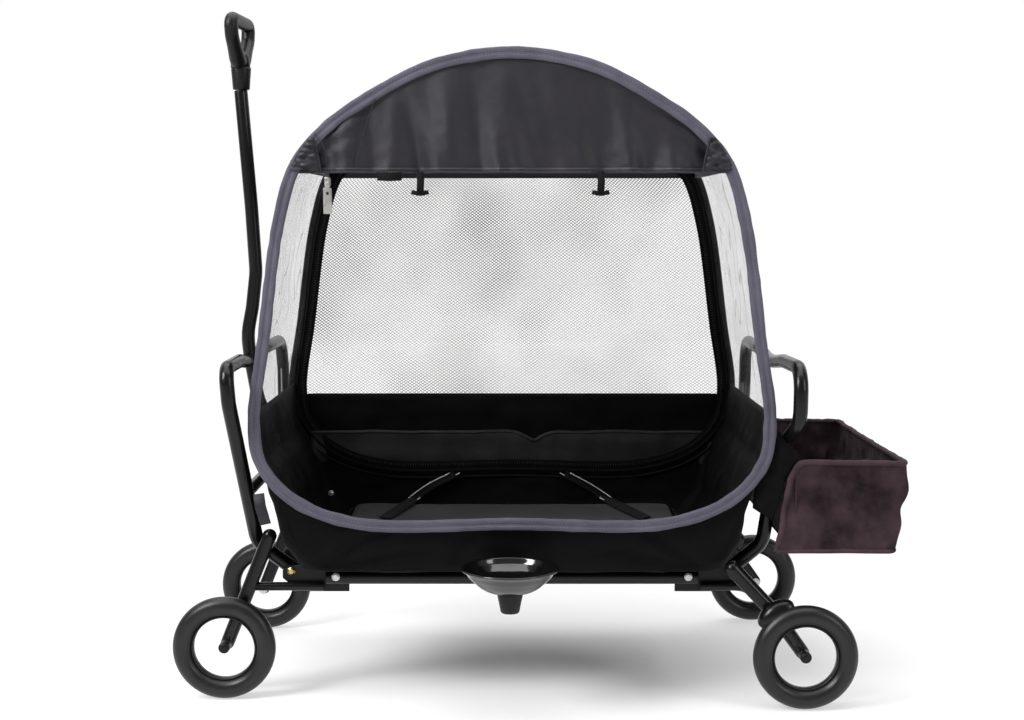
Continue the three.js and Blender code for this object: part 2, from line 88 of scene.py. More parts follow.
HEM_Z, NET_LOW, NET_TOP = 832, 433, 838
ROOF_LOW, MESH_LOW = 842, 456
TYRE_MIDDLE, TYRE_HALF = 66.5, 15.5
BASKET_IN, BASKET_FLOOR_OUT, BASKET_OUT, BASKET_HALF, BASKET_LOW, BASKET_TOP = 438, 597, 598, 255, 242, 386
BOWL_X, BOWL_Y, BOWL_RIM, BOWL_RADIUS = -3, -318, 235, 75.5
EYE, EYE_PITCH, EYE_LENS = (0, -2641, 762), 0.0907, 54.703125

low_rail, high_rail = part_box("rail_near"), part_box("rail_far")
CENTRE_X = (low_rail[0].x + high_rail[1].x) / 2
CENTRE_Y = (low_rail[0].y + high_rail[1].y) / 2


def place(points):
    """Design millimetres to metres in the row frame."""
    out = np.asarray(points, float) * 0.001
    out[..., 0] += CENTRE_X
    out[..., 1] += CENTRE_Y
    return out


# ---- meshes ----
def make(name, points, faces, look, uvs):
    """A mesh object from design points and faces. uvs is one pair for each face corner."""
    mesh = bpy.data.meshes.new(name)
    mesh.from_pydata([tuple(p) for p in place(points)], [], faces)
    layer = mesh.uv_layers.new(name="UVMap")
    layer.data.foreach_set("uv", np.asarray(uvs, np.float32).ravel() * 0.001)
    mesh.polygons.foreach_set("use_smooth", [True] * len(mesh.polygons))
    work = bmesh.new()
    work.from_mesh(mesh)
    bmesh.ops.recalc_face_normals(work, faces=work.faces)
    work.to_mesh(mesh)
    work.free()
    mesh.materials.append(look)
    piece = bpy.data.objects.new(name, mesh)
    bpy.context.scene.collection.objects.link(piece)
    return piece


def skin(rows, loop=False, ring=False, caps=False):
    """Faces and UVs over rows of points. loop closes the rows' order and ring closes each row."""
    rows = np.asarray(rows, float)
    n, m = rows.shape[:2]
    index = np.arange(n * m).reshape(n, m)
    across = np.linalg.norm(np.roll(rows, -1, axis=1) - rows, axis=2).mean(axis=0)
    along = np.linalg.norm(np.roll(rows, -1, axis=0) - rows, axis=2).mean(axis=1)
    u = np.concatenate([[0], np.cumsum(across)])
    v = np.concatenate([[0], np.cumsum(along)])
    faces, uvs = [], []
    for i in range(n if loop else n - 1):
        a, b = index[i], index[(i + 1) % n]
        for j in range(m if ring else m - 1):
            k = (j + 1) % m
            faces.append((a[j], a[k], b[k], b[j]))
            uvs += [(u[j], v[i]), (u[j + 1], v[i]), (u[j + 1], v[i + 1]), (u[j], v[i + 1])]
    if caps:
        for row in (index[0][::-1], index[-1]):
            faces.append(tuple(row))
            uvs += [(0, 0)] * m
    return rows.reshape(-1, 3), [tuple(int(x) for x in f) for f in faces], uvs


def surface(name, rows, look, loop=False, ring=False, caps=False):
    """One object from rows of points."""
    return several(name, [skin(rows, loop, ring, caps)], look)


def spots(*values):
    """Points from their three coordinates, any of which may be a single number."""
    return np.stack(np.broadcast_arrays(*values), -1).astype(float)


def several(name, shells, look):
    """One object from several (points, faces, uvs) shells."""
    points, faces, uvs, start = [], [], [], 0
    for p, f, t in shells:
        points.append(np.asarray(p, float))
        faces += [tuple(i + start for i in face) for face in f]
        uvs += list(t)
        start += len(p)
    return make(name, np.concatenate(points), faces, look, uvs)


def put(piece, body, slot, *nodes):
    """The piece rides on a body and stands for CAD nodes, which it hides; slot is not used."""
    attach(piece, body)
    if nodes:
        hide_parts(*nodes)
    return piece


def part(name, shells, look, body, slot, *nodes):
    """A rigid piece from shells, put on its body."""
    return put(several(name, shells, look), body, slot, *nodes)


def modify(piece, kind, **settings):
    """Adds a modifier and applies it, so that the mesh is final."""
    modifier = piece.modifiers.new(kind.lower(), kind)
    for key, value in settings.items():
        setattr(modifier, key, value)
    bpy.context.view_layer.objects.active = piece
    for other in bpy.context.selected_objects:
        other.select_set(False)
    piece.select_set(True)
    bpy.ops.object.modifier_apply(modifier=modifier.name)
    return piece


# ---- curves ----
def bent(corners, bend, per_bend=8):
    """Points along straight runs that are joined by round bends."""
    corners = [np.asarray(c, float) for c in corners]
    points = [corners[0]]
    for before, corner, after in zip(corners, corners[1:], corners[2:]):
        into = (corner - before) / np.linalg.norm(corner - before)
        out = (after - corner) / np.linalg.norm(after - corner)
        half = math.acos(max(-1, min(1, into @ out))) / 2
        if half < 1e-3:
            continue
        room = min(np.linalg.norm(corner - before), np.linalg.norm(after - corner))
        reach = min(bend * math.tan(half), room * 0.49)
        radius = reach / math.tan(half)
        start = corner - into * reach
        normal = out - into * (into @ out)
        normal /= np.linalg.norm(normal)
        for k in range(per_bend + 1):
            turn = 2 * half * k / per_bend
            points.append(start + normal * radius * (1 - math.cos(turn)) + into * radius * math.sin(turn))
    points.append(corners[-1])
    return np.array(points)


def smooth(points, count, closed=False):
    """Evenly spaced points on a centripetal Catmull-Rom curve through the given ones."""
    p = np.asarray(points, float)
    if closed:
        p = np.concatenate([p[-1:], p, p[:2]])
    else:
        p = np.concatenate([[2 * p[0] - p[1]], p, [2 * p[-1] - p[-2]]])
    dense = []
    for a, b, c, d in zip(p, p[1:], p[2:], p[3:]):
        t1 = np.linalg.norm(b - a) ** 0.5
        t2 = t1 + np.linalg.norm(c - b) ** 0.5
        t3 = t2 + np.linalg.norm(d - c) ** 0.5
        for t in np.linspace(t1, t2, 24, endpoint=False):
            ab = (t1 - t) / t1 * a + t / t1 * b
            bc = (t2 - t) / (t2 - t1) * b + (t - t1) / (t2 - t1) * c
            cd = (t3 - t) / (t3 - t2) * c + (t - t2) / (t3 - t2) * d
            abc = (t2 - t) / t2 * ab + t / t2 * bc
            bcd = (t3 - t) / (t3 - t1) * bc + (t - t1) / (t3 - t1) * cd
            dense.append((t2 - t) / (t2 - t1) * abc + (t - t1) / (t2 - t1) * bcd)
    dense.append(p[-2])
    return even(np.array(dense), count, closed)


def even(line, count, closed=False):
    """Points spaced evenly along a line. A closed line's last point repeats its first."""
    steps = np.concatenate([[0], np.cumsum(np.linalg.norm(np.diff(line, axis=0), axis=1))])
    wanted = np.linspace(0, steps[-1], count + 1)[:-1] if closed else np.linspace(0, steps[-1], count)
    return np.stack([np.interp(wanted, steps, line[:, k]) for k in range(line.shape[1])], axis=1)


def frames(path, closed=False, up=None):
    """Tangent, side and lift directions along a path, turning as little as they can."""
    if closed:
        tangent = np.roll(path, -1, axis=0) - np.roll(path, 1, axis=0)
    else:
        tangent = np.gradient(path, axis=0)
    tangent /= np.linalg.norm(tangent, axis=1)[:, None]
    if up is not None:
        side = np.cross(tangent, np.asarray(up, float))
        side /= np.linalg.norm(side, axis=1)[:, None]
        return tangent, side, np.cross(side, tangent)
    start = np.array([0, 1, 0.0]) if abs(tangent[0][1]) < 0.9 else np.array([1.0, 0, 0])
    sides = []
    for t in tangent:
        start = start - t * (start @ t)
        start /= np.linalg.norm(start)
        sides.append(start)
    side = np.array(sides)
    return tangent, side, np.cross(tangent, side)


def sweep(path, section, closed=False, up=None, caps=True):
    """Rows of a section's (side, lift) points carried along a path."""
    path = np.asarray(path, float)
    _, side, lift = frames(path, closed, up)
    section = np.asarray(section, float)
    if section.ndim == 2:
        section = np.broadcast_to(section, (len(path), *section.shape))
    rows = path[:, None] + side[:, None] * section[..., :1] + lift[:, None] * section[..., 1:]
    return skin(rows, loop=closed, ring=True, caps=caps and not closed)


def circle(radius, sides=24):
    turn = np.linspace(0, 2 * math.pi, sides, endpoint=False)
    return np.stack([np.cos(turn), np.sin(turn)], axis=1) * radius


def pipe(path, radius, sides=24, closed=False, round_ends=0.0):
    """A round tube. round_ends is how far each end's edge is rounded, up to the radius."""
    path = np.asarray(path, float)
    radii = np.full(len(path), float(radius))
    if round_ends and not closed:
        turns = np.linspace(0, math.pi / 2, 6)
        for _ in range(2):
            away = path[0] - path[1]
            away /= np.linalg.norm(away)
            base = path[0] - away * round_ends
            lead = [base + away * round_ends * math.cos(a) for a in turns]
            thin = [radii[0] - round_ends * (1 - math.sin(a)) for a in turns]
            path = np.concatenate([lead, path[1:]])[::-1]
            radii = np.concatenate([thin, radii[1:]])[::-1]
    section = circle(1, sides)[None] * np.maximum(radii, 0.05)[:, None, None]
    return sweep(path, section, closed)


def rounded_rod(path, first, last, sides=32):
    """A rod along a path with two round ends, whose radius runs from first to last."""
    path = np.asarray(path, float)
    radii = np.linspace(first, last, len(path))
    for _ in range(2):
        out = path[0] - path[1]
        out /= np.linalg.norm(out)
        turns = np.linspace(0.03, math.pi / 2, 8)[:-1]
        dome = [path[0] + out * radii[0] * math.cos(a) for a in turns]
        path = np.concatenate([dome, path])[::-1]
        radii = np.concatenate([[radii[0] * math.sin(a) for a in turns], radii])[::-1]
    return sweep(path, circle(1, sides)[None] * radii[:, None, None])


def turned(profile, centre, axis="Z", segments=64):
    """A lathed shell from (radius, height) pairs about an axis through centre."""
    turn = np.linspace(0, 2 * math.pi, segments, endpoint=False)
    profile = np.asarray(profile, float)
    closed = np.allclose(profile[0], profile[-1])
    if closed:
        profile = profile[:-1]
    radius, height = np.maximum(profile[:, :1], 0.02), np.repeat(profile[:, 1:], segments, axis=1)
    across, up = radius * np.cos(turn), radius * np.sin(turn)
    order = {"Z": (across, up, height), "Y": (across, height, up), "X": (height, across, up)}[axis]
    return skin(np.stack(order, axis=2) + np.asarray(centre, float), loop=closed, ring=True, caps=not closed)


def rounded_box(low, high, radius, steps=3):
    """A box whose edges are rounded, as stacked rounded rectangles."""
    low, high = np.asarray(low, float), np.asarray(high, float)
    middle, half = (low + high) / 2, (high - low) / 2
    radius = min(radius, *(half * 0.98))
    rows = []
    levels = [(-half[2] + radius * (1 - math.cos(a)), radius * (1 - math.sin(a)))
              for a in np.linspace(0, math.pi / 2, steps + 1)]
    levels += [(-z, inset) for z, inset in levels[::-1]]
    for z, inset in levels:
        ring = []
        for sx, sy, start in ((1, 1, 0), (-1, 1, 0.5), (-1, -1, 1), (1, -1, 1.5)):
            for a in np.linspace(start * math.pi, (start + 0.5) * math.pi, steps + 1):
                x = sx * (half[0] - radius) + (radius - inset) * math.cos(a)
                y = sy * (half[1] - radius) + (radius - inset) * math.sin(a)
                ring.append((x, y, z))
        rows.append(ring)
    return skin(np.array(rows) + middle, ring=True, caps=True)


def ripple(points, scale, seed, waves=14):
    """Smooth noise of about -1 to 1: sine waves in seeded directions, of about one length."""
    rng = np.random.default_rng(seed)
    points = np.asarray(points, float)
    total = np.zeros(points.shape[:-1])
    for _ in range(waves):
        way = rng.normal(size=3)
        way *= 2 * math.pi / (np.linalg.norm(way) * scale * rng.uniform(0.6, 1.7))
        total += np.sin(points @ way + rng.uniform(0, 2 * math.pi))
    return total / math.sqrt(waves)


def crease(points, a, b, width):
    """1 on the line from a to b, falling smoothly to 0 about a width away from it."""
    a, b = np.asarray(a, float), np.asarray(b, float)
    along = b - a
    share = np.clip((points - a) @ along / (along @ along), 0, 1)
    away = np.linalg.norm(points - (a + share[..., None] * along), axis=-1)
    fade = np.sin(math.pi * np.clip(share, 0.03, 0.97)) ** 0.5
    return np.exp(-(away / width) ** 2) * fade


# ---- materials ----
def node(tree, kind, inputs=None, **settings):
    made = tree.nodes.new(kind)
    for key, value in settings.items():
        setattr(made, key, value)
    for key, value in (inputs or {}).items():
        if isinstance(value, bpy.types.NodeSocket):
            tree.links.new(value, made.inputs[key])
        else:
            made.inputs[key].default_value = value
    return made


def math_node(tree, operation, a, b=0.5):
    return node(tree, "ShaderNodeMath", {0: a, 1: b}, operation=operation).outputs[0]


def noise(tree, vector, scale, detail, **inputs):
    """Cloudy noise, of about 0.3 to 0.7."""
    made = node(tree, "ShaderNodeTexNoise", {"Vector": vector, "Scale": scale, "Detail": detail, **inputs})
    return made.outputs["Fac"]


def span(tree, value, low, high, first=0.0, last=1.0):
    """Carries the values from low to high over to those from first to last."""
    made = node(tree, "ShaderNodeMapRange", {"Value": value, "From Min": low, "From Max": high,
                                             "To Min": first, "To Max": last})
    return made.outputs[0]


def mix(tree, share, a, b):
    """A colour between a and b."""
    return node(tree, "ShaderNodeMix", {"Factor": share, "A": a, "B": b}, data_type="RGBA").outputs["Result"]


def linear(color):
    """An sRGB colour, 0 to 255, as linear RGBA."""
    share = [c / 255 for c in color]
    return (*[c / 12.92 if c <= 0.04045 else ((c + 0.055) / 1.055) ** 2.4 for c in share], 1)


def finish(name, dark, light, roughness, specular=0.5, patch=0.05, **sockets):
    """A Principled material whose colour drifts between two shades over patches of a size."""
    made = bpy.data.materials.new(name)
    made.use_nodes = True
    tree = made.node_tree
    shader = tree.nodes["Principled BSDF"]
    shader.inputs["Specular IOR Level"].default_value = specular
    for key, value in sockets.items():
        shader.inputs[key.replace("_", " ")].default_value = value
    where = node(tree, "ShaderNodeTexCoord")
    cloudy = noise(tree, where.outputs["Object"], 1 / patch, 5, Roughness=0.6)
    shade = mix(tree, span(tree, cloudy, 0.3, 0.7), linear(dark), linear(light))
    tree.links.new(shade, shader.inputs["Base Color"])
    gloss = span(tree, cloudy, 0, 1, roughness * 0.88, min(1, roughness * 1.12))
    tree.links.new(gloss, shader.inputs["Roughness"])
    return made, tree, shader, where


def bump(tree, shader, height, distance):
    """Adds a bump of a distance in metres on top of any that the shader has."""
    made = node(tree, "ShaderNodeBump", {"Height": height, "Distance": distance, "Strength": 1.0})
    before = shader.inputs["Normal"].links
    if before:
        tree.links.new(before[0].from_socket, made.inputs["Normal"])
    tree.links.new(made.outputs["Normal"], shader.inputs["Normal"])


def grain(tree, shader, where, size, depth, detail=3):
    """A fine pebbled surface, as on moulded plastic or powder coat."""
    bump(tree, shader, noise(tree, where.outputs["Object"], 1 / size, detail), depth)


def weave(tree, shader, where, pitch, depth):
    """Warp and weft threads from the UVs, which are in metres."""
    threads = []
    for direction in ("X", "Y"):
        wave = node(tree, "ShaderNodeTexWave", {"Vector": where.outputs["UV"], "Scale": 0.314 / pitch,
                                                "Distortion": 0.4, "Detail": 1.0},
                    bands_direction=direction)
        threads.append(wave.outputs["Fac"])
    bump(tree, shader, math_node(tree, "MULTIPLY", *threads), depth)


def slub(tree, shader, where, size, depth):
    """Slight unevenness of cloth at a size larger than its threads."""
    bump(tree, shader, noise(tree, where.outputs["Object"], 1 / size, 6, Roughness=0.65), depth)


def painted_steel():
    made, tree, shader, where = finish("powder_coat", (8, 8, 9), (13, 12, 14), 0.24, 0.3, 0.08)
    grain(tree, shader, where, 0.0011, 0.00006)
    return made


def moulded_plastic():
    made, tree, shader, where = finish("moulded_black", (9, 8, 9), (15, 14, 15), 0.42, 0.28, 0.03)
    grain(tree, shader, where, 0.0007, 0.00008)
    return made


def tyre_rubber():
    """Foam rubber with two grain sizes."""
    made, tree, shader, where = finish("foam_tyre", (19, 17, 19), (27, 25, 28), 0.36, 0.42, 0.04)
    grain(tree, shader, where, 0.0009, 0.00007)
    grain(tree, shader, where, 1 / 90, 0.0001, detail=8)
    return made


def clear_plastic():
    made, tree, shader, where = finish("clear_disc", (150, 152, 152), (170, 172, 172), 0.06, 0.5, 0.1)
    shader.inputs["Alpha"].default_value = 0.012
    grain(tree, shader, where, 0.02, 0.0001)
    return made


def bare_metal(name, dark, light, roughness, metallic=1.0):
    made, tree, shader, where = finish(name, dark, light, roughness, 0.5, 0.01, Metallic=metallic)
    grain(tree, shader, where, 0.0006, 0.00003)
    return made


def cloth(name, dark, light, roughness, specular, pitch=0.0007, depth=0.0001, patch=0.06, sheen=0.0):
    """Woven cloth of a thread pitch and depth in metres."""
    made, tree, shader, where = finish(name, dark, light, roughness, specular, patch)
    if sheen:
        shader.inputs["Sheen Weight"].default_value = sheen
        shader.inputs["Sheen Roughness"].default_value = 0.5
    weave(tree, shader, where, pitch, depth)
    slub(tree, shader, where, 0.02, 0.0006)
    return made


def net(name, wide, high, wire, dark, light, shade_patches, crease_shade=False):
    """Netting with open diamonds. wide and high are a diamond's size and wire its thread, in metres.

    shade_patches is how much denser the net is drawn in cloudy patches, as painted shade, and crease_shade
    adds thin dark creases of painted shade.
    """
    made, tree, shader, where = finish(name, dark, light, 0.7, 0.25, 0.02)
    parts = node(tree, "ShaderNodeSeparateXYZ", {0: where.outputs["UV"]})
    across = math_node(tree, "DIVIDE", parts.outputs[0], wide)
    along = math_node(tree, "DIVIDE", parts.outputs[1], high)
    share = wire / math.hypot(wide, high) * 2
    # Thicker threads in cloudy patches darken the net there, as painted shade.
    shade_cloud = noise(tree, where.outputs["Object"], 4.5, 2)
    thick = span(tree, shade_cloud, 0.42, 0.7, share / 2, share / 2 * (1 + shade_patches))
    threads = []
    for operation in ("ADD", "SUBTRACT"):
        turn = math_node(tree, "FRACT", math_node(tree, operation, across, along))
        away = math_node(tree, "ABSOLUTE", math_node(tree, "SUBTRACT", turn, 0.5))
        threads.append(math_node(tree, "LESS_THAN", away, thick))
    cover = math_node(tree, "MAXIMUM", *threads)
    # Thin dark diagonal lines of denser net: painted shade along creases.
    if crease_shade:
        slant = node(tree, "ShaderNodeMapping", {"Vector": where.outputs["Object"],
                                                 "Rotation": (0.9, 0.5, 0.3), "Scale": (2, 9, 2.4)})
        folds = noise(tree, slant.outputs[0], 1.4, 1, Distortion=0.9)
        ridge = math_node(tree, "ABSOLUTE", math_node(tree, "SUBTRACT", folds, 0.5))
        cover = math_node(tree, "MAXIMUM", cover, span(tree, ridge, 0.0, 0.011, 0.38, 0.0))
    tree.links.new(cover, shader.inputs["Alpha"])
    return made


STEEL = painted_steel()
PLASTIC = moulded_plastic()
RUBBER = tyre_rubber()
CLEAR = clear_plastic()
ZINC = bare_metal("zinc_plate", (196, 193, 188), (226, 224, 219), 0.26, 0.5)
YELLOW_ZINC = bare_metal("yellow_zinc", (172, 148, 92), (206, 186, 132), 0.3)
GREY = cloth("grey_oxford", (23, 21, 28), (32, 29, 37), 0.42, 0.36, sheen=0.05)
BINDING = cloth("grey_binding", (76, 73, 86), (92, 89, 103), 0.7, 0.25, pitch=0.0012, sheen=0.06)
BLACK = cloth("black_oxford", (7, 6, 8), (12, 11, 13), 0.65, 0.08, sheen=0.006)
LINER = cloth("black_liner", (24, 22, 24), (42, 39, 42), 0.55, 0.35, patch=0.09, sheen=0.06)
WEBBING = cloth("black_webbing", (13, 12, 14), (21, 20, 22), 0.75, 0.15, pitch=0.0016, depth=0.0003,
                patch=0.02)
# The spread from dark to light brown is partly the cloth's uneven tone and partly painted highlight in
# lighter blotches.
BROWN = cloth("brown_cloth", (20, 14, 16), (72, 57, 62), 0.92, 0.08, pitch=0.0009, patch=0.06, sheen=0.03)
BROWN_EDGE = cloth("brown_binding", (56, 43, 48), (76, 60, 66), 0.9, 0.1, pitch=0.0008, patch=0.03,
                   sheen=0.04)
GLOSS = finish("gloss_bowl", (12, 11, 12), (17, 16, 17), 0.13, 0.55, 0.05, Coat_Weight=0.4)[0]
REFLECT = finish("reflective_edge", (200, 200, 200), (236, 236, 236), 0.4, 0.5, 0.02)[0]
THREAD = cloth("grey_thread", (112, 109, 124), (128, 125, 138), 0.8, 0.2, pitch=0.0004)
DARK_THREAD = cloth("dark_thread", (40, 38, 43), (52, 50, 55), 0.8, 0.2, pitch=0.0004)
NET = net("far_netting", 0.0074, 0.0054, 0.00058, (16, 16, 17), (40, 40, 42), 1.1)
END_NET = net("end_netting", 0.0034, 0.0034, 0.00036, (40, 40, 44), (70, 70, 75), 0.5, crease_shade=True)


# ---- the hoop's outline ----
def hoop_loop(count, inset=0.0):
    """The tent's side outline, from the crown clockwise, moved inwards by inset: (x, z) pairs."""
    left = [(-x, z) for x, z in HOOP_HALF[-2:0:-1]]
    line = smooth(HOOP_HALF + left, count, closed=True)
    ahead = np.roll(line, -1, axis=0) - np.roll(line, 1, axis=0)
    ahead /= np.linalg.norm(ahead, axis=1)[:, None]
    return line + np.stack([ahead[:, 1], -ahead[:, 0]], axis=1) * inset


def hoop_path(count, inset, y):
    """The outline in the plane at a y."""
    line = hoop_loop(count, inset)
    return np.stack([line[:, 0], np.full(count, y), line[:, 1]], axis=1)


FINE_HOOP = hoop_loop(720)


def hoop_low(x):
    """The height of the hoop's lower arc at a place along the stroller."""
    line = FINE_HOOP[(FINE_HOOP[:, 1] < HOOP_WIDEST[1] + 1) & (np.abs(FINE_HOOP[:, 0]) <= HOOP_WIDEST[0])]
    order = np.argsort(line[:, 0])
    return np.interp(x, line[order, 0], line[order, 1])


# ---- wheels ----
def tyre_profile():
    """The foam tyre's section, as (radius, across) pairs: round, with two shallow grooves on each flank."""
    grooves = (0.95, math.pi - 0.95, math.pi + 0.75, 2 * math.pi - 0.75)
    points = []
    for a in np.linspace(0, 2 * math.pi, 49):
        r = TYRE_HALF - 0.5 * sum(math.exp(-((a - g) / 0.05) ** 2) for g in grooves)
        points.append((TYRE_MIDDLE + r * math.cos(a), r * math.sin(a)))
    return points


def wheel(end, side_name, side):
    """The tyre, the lip inside it, the clear web and the hub, which faces out."""
    tag = f"{end}_{side_name}"
    lip = [(51.6, -6.5), (50.2, -6.8), (48.8, -6.2), (48.6, 0), (48.8, 6.2), (50.2, 6.8), (51.6, 6.5),
           (50.8, 0), (51.6, -6.5)]
    web = [(9.4, -1.5), (48.9, -1.5), (48.9, 1.5), (9.4, 1.5), (9.4, -1.5)]
    hub = [(0, 8.5), (5, 8.2), (8, 6.6), (9, 4), (9, -15), (5, -15), (4.6, -14)]
    for name, profile, out, segments, look, slot, *nodes in (
            ("tyre_skin", tyre_profile(), 1, 96, RUBBER, "rubber", f"tyre_{tag}"),
            ("rim_lip", lip, 1, 96, RUBBER, "rubber"),
            ("clear_web", web, 1, 96, CLEAR, "clear_disc", f"wheel_disc_{tag}"),
            ("hub_skin", hub, side, 40, PLASTIC, "moulded", f"hub_{tag}")):
        section = [(r, side * AXLE_Y[end] + out * across) for r, across in profile]
        shell = turned(section, (AXLE_X[end], 0, AXLE_Z), "Y", segments)
        part(f"{name}_{tag}", [shell], look, f"wheel_{tag}", slot, *nodes)


def leg(end, side_name, side):
    """A leg with round ends, drawn slimmer towards the wheel, and the short tube that carries it."""
    tag = f"{end}_{side_name}"
    sign = ENDS[end]
    y = side * LEG_Y[end]
    (x0, z0), (x1, z1) = LEG_RUN[end][-2:]
    stub_x = x0 + (x1 - x0) * (STUB_Z - z0) / (z1 - z0)
    stub = bent([(stub_x, y, STUB_Z), *[(sign * x, side * STUB_Y, STUB_Z) for x in (368, 302)]], 20)
    run = bent([(x, y, z) for x, z in LEG_RUN[end]], 60)
    rod = rounded_rod(even(run, 40), 11.0, 12.4 if end == "rear" else 11.5)
    shells = [rod, pipe(stub, 7, 20, round_ends=1.5)]
    part(f"leg_tube_{tag}", shells, STEEL, "base", "frame_steel", f"leg_{tag}")


def brake(side_name, side):
    """The saddle over a rear tyre: a smooth swell that thins out at both ends."""
    middle, half, reach = LEG_Y["rear"] + 18, 17, 22
    rows = []
    for across in np.sin(np.linspace(-math.pi / 2, math.pi / 2, 27)) * 0.995:
        turn = math.radians(124.5 + across * reach)
        swell = math.sqrt(1 - across ** 2)
        section = [(middle + half * (0.35 + 0.65 * swell) * math.cos(a), 80 + (4 + 15 * swell) * math.sin(a))
                   for a in np.linspace(0, 2 * math.pi, 30, endpoint=False)]
        rows.append([(AXLE_X["rear"] + r * math.cos(turn), side * y, AXLE_Z + r * math.sin(turn))
                     for y, r in section])
    piece = surface(f"brake_saddle_{side_name}", rows, STEEL, ring=True, caps=True)
    put(piece, f"brake_pedal_{side_name}", "moulded", f"brake_{side_name}")


# ---- frame ----
def arm_corners(end, side):
    """One half of an end frame: from the pivot, over the shoulder, to the middle of the top bar."""
    sign = ENDS[end]
    knee, shoulder, bar, middle = ARM_X[end]
    waist = [(REAR_WAIST[0], side * REAR_WAIST[1], REAR_WAIST[2])] if end == "rear" else []
    return [(sign * (PIVOT_X - 12), side * 160, PIVOT_Z - 9), (knee, side * 160, 240), *waist,
            (shoulder, side * 285, SHOULDER_Z[end]), (bar, side * 285, 534),
            ((bar + middle) / 2, side * 128.25, 532), (middle, side * 30, 522), (middle, 0, 522)]


def tube(name, path, radius, sides, round_ends, body, node_name):
    """A steel tube on its body."""
    part(name, [pipe(path, radius, sides, round_ends=round_ends)], STEEL, body, "frame_steel", node_name)


def frames_and_pole():
    """The two end frames, the pull pole, the rails and the cross tubes."""
    for side_name, side in SIDES.items():
        arm = bent(arm_corners("front", side), ARM_BEND)
        tube(f"front_arm_{side_name}", arm, FRAME_RADIUS, 28, 2, "front_end", f"front_frame_{side_name}")
    corners = arm_corners("rear", -1)[:-1] + arm_corners("rear", 1)[:-1][::-1]
    tube("rear_hoop_tube", bent(corners, ARM_BEND), FRAME_RADIUS, 28, 2, "rear_end", "rear_frame")
    tube("pole_tube", bent([(x, 0, z) for x, z in POLE], 120), FRAME_RADIUS, 32, 2, "front_end", "pole")
    low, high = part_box("front_frame_low_tube")
    half = (high.y - low.y) * 500
    ends = [(LOW_CROSS_X, y, LOW_CROSS_Z) for y in (-half, half)]
    tube("low_tube", ends, 10, 24, 1, "front_end", "front_frame_low_tube")
    for side_name, side in SIDES.items():
        ends = [(x, side * RAIL_Y, RAIL_Z) for x in (-RAIL_HALF, RAIL_HALF)]
        tube(f"rail_tube_{side_name}", ends, 11, 28, 2, "base", f"rail_{side_name}")
    for end, sign in ENDS.items():
        ends = [(sign * CROSS_X, y, RAIL_Z) for y in (-CROSS_HALF, CROSS_HALF)]
        tube(f"cross_member_{end}", ends, 10, 28, 1, "base", f"cross_tube_{end}")


def grip():
    """The collar at the pole's top and the D-shaped grip, turned a little about the pole."""
    collar = [(0, 977), (13.4, 977), (14.2, 979), (15.2, 994), (16.6, 1010), (16.4, 1013), (15.4, 1014),
              (0, 1014.1)]
    part("collar_skin", [turned(collar, (GRIP_X + 1, 0, 0), "Z", 48)], PLASTIC, "front_end", "moulded",
         "grip_collar")
    top, foot, half = 1089, 1022, 58
    low_corners = [(half - 7, foot + 38), (14, foot), (-14, foot), (7 - half, foot + 38)]
    outline = [(0, top), (half, top), *low_corners, (-half, top), (0, top)]
    turn = math.radians(GRIP_TURN)
    line = bent([(GRIP_X - y * math.sin(turn), y * math.cos(turn), z) for y, z in outline], 24)
    ring = even(line, 160, closed=True)
    thick = 11.4 + 2.2 * np.exp(-((ring[:, 2] - foot) / 18) ** 2)
    section = circle(1, 26)[None] * thick[:, None, None]
    neck = [(0, 1013.6), (16.2, 1013.6), (16.2, 1022), (15, 1032), (10, 1040), (0, 1042)]
    shells = [sweep(ring, section, closed=True), turned(neck, (GRIP_X, 0, 0), "Z", 40)]
    part("d_grip_skin", shells, PLASTIC, "front_end", "moulded", "d_grip")


def keep_cad(prefixes, look, width):
    """CAD pieces whose shape is right keep it, with a finish and rounded edges."""
    for name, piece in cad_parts.items():
        if name.startswith(prefixes) and not piece.hide_render:
            piece.data.materials.clear()
            piece.data.materials.append(look)
            bevel = piece.modifiers.new("edge", "BEVEL")
            bevel.width = width
            bevel.segments = 2
            bevel.limit_method = "ANGLE"


for end_name in ENDS:
    for name_of_side, side_sign in SIDES.items():
        wheel(end_name, name_of_side, side_sign)
        leg(end_name, name_of_side, side_sign)
for name_of_side, side_sign in SIDES.items():
    brake(name_of_side, side_sign)
frames_and_pole()
grip()
keep_cad(("axle_", "rail_bolt_"), ZINC, 0.0006)
keep_cad(("pivot_bolt_",), YELLOW_ZINC, 0.0006)
keep_cad(("corner_bracket_", "floor_board"), PLASTIC, 0.001)


# ---- cloth helpers ----
def soft(piece, slot, *nodes, low=TUB_LOW):
    """A soft piece of the tub or tent: it goes with the base and keeps a mesh of its own."""
    put(piece, "base", slot, *nodes)
    tuple(place([0, 0, low]))
    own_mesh(piece)
    return piece


def sewn(name, shells, look, slot, *nodes, low=TUB_LOW):
    """A soft piece of the tub or tent, from shells."""
    return soft(several(name, shells, look), slot, *nodes, low=low)


def basket_part(piece, *nodes):
    """A piece of the basket: it goes with the rear frame and keeps a mesh of its own."""
    put(piece, "rear_end", "brown_cloth", *nodes)
    tuple(place([BASKET_IN - 6, 0, 300]))
    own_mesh(piece)
    return piece


def panel(name, rows, look, thick=1.2):
    """A cloth panel with a real thickness, from rows of points on its middle surface."""
    piece = surface(name, rows, look)
    return modify(piece, "SOLIDIFY", thickness=thick / 1000, offset=0)


def ribbon(path, up, width, thick):
    """A flat strip with rounded edges along a path. up is the way its face looks."""
    w, t = width / 2, thick / 2
    r = 0.35 * t
    lower = [(-w, r - t), (r - w, -t), (w - r, -t), (w, r - t)]
    return sweep(path, lower + [(side, -lift) for side, lift in lower[::-1]], up=up)


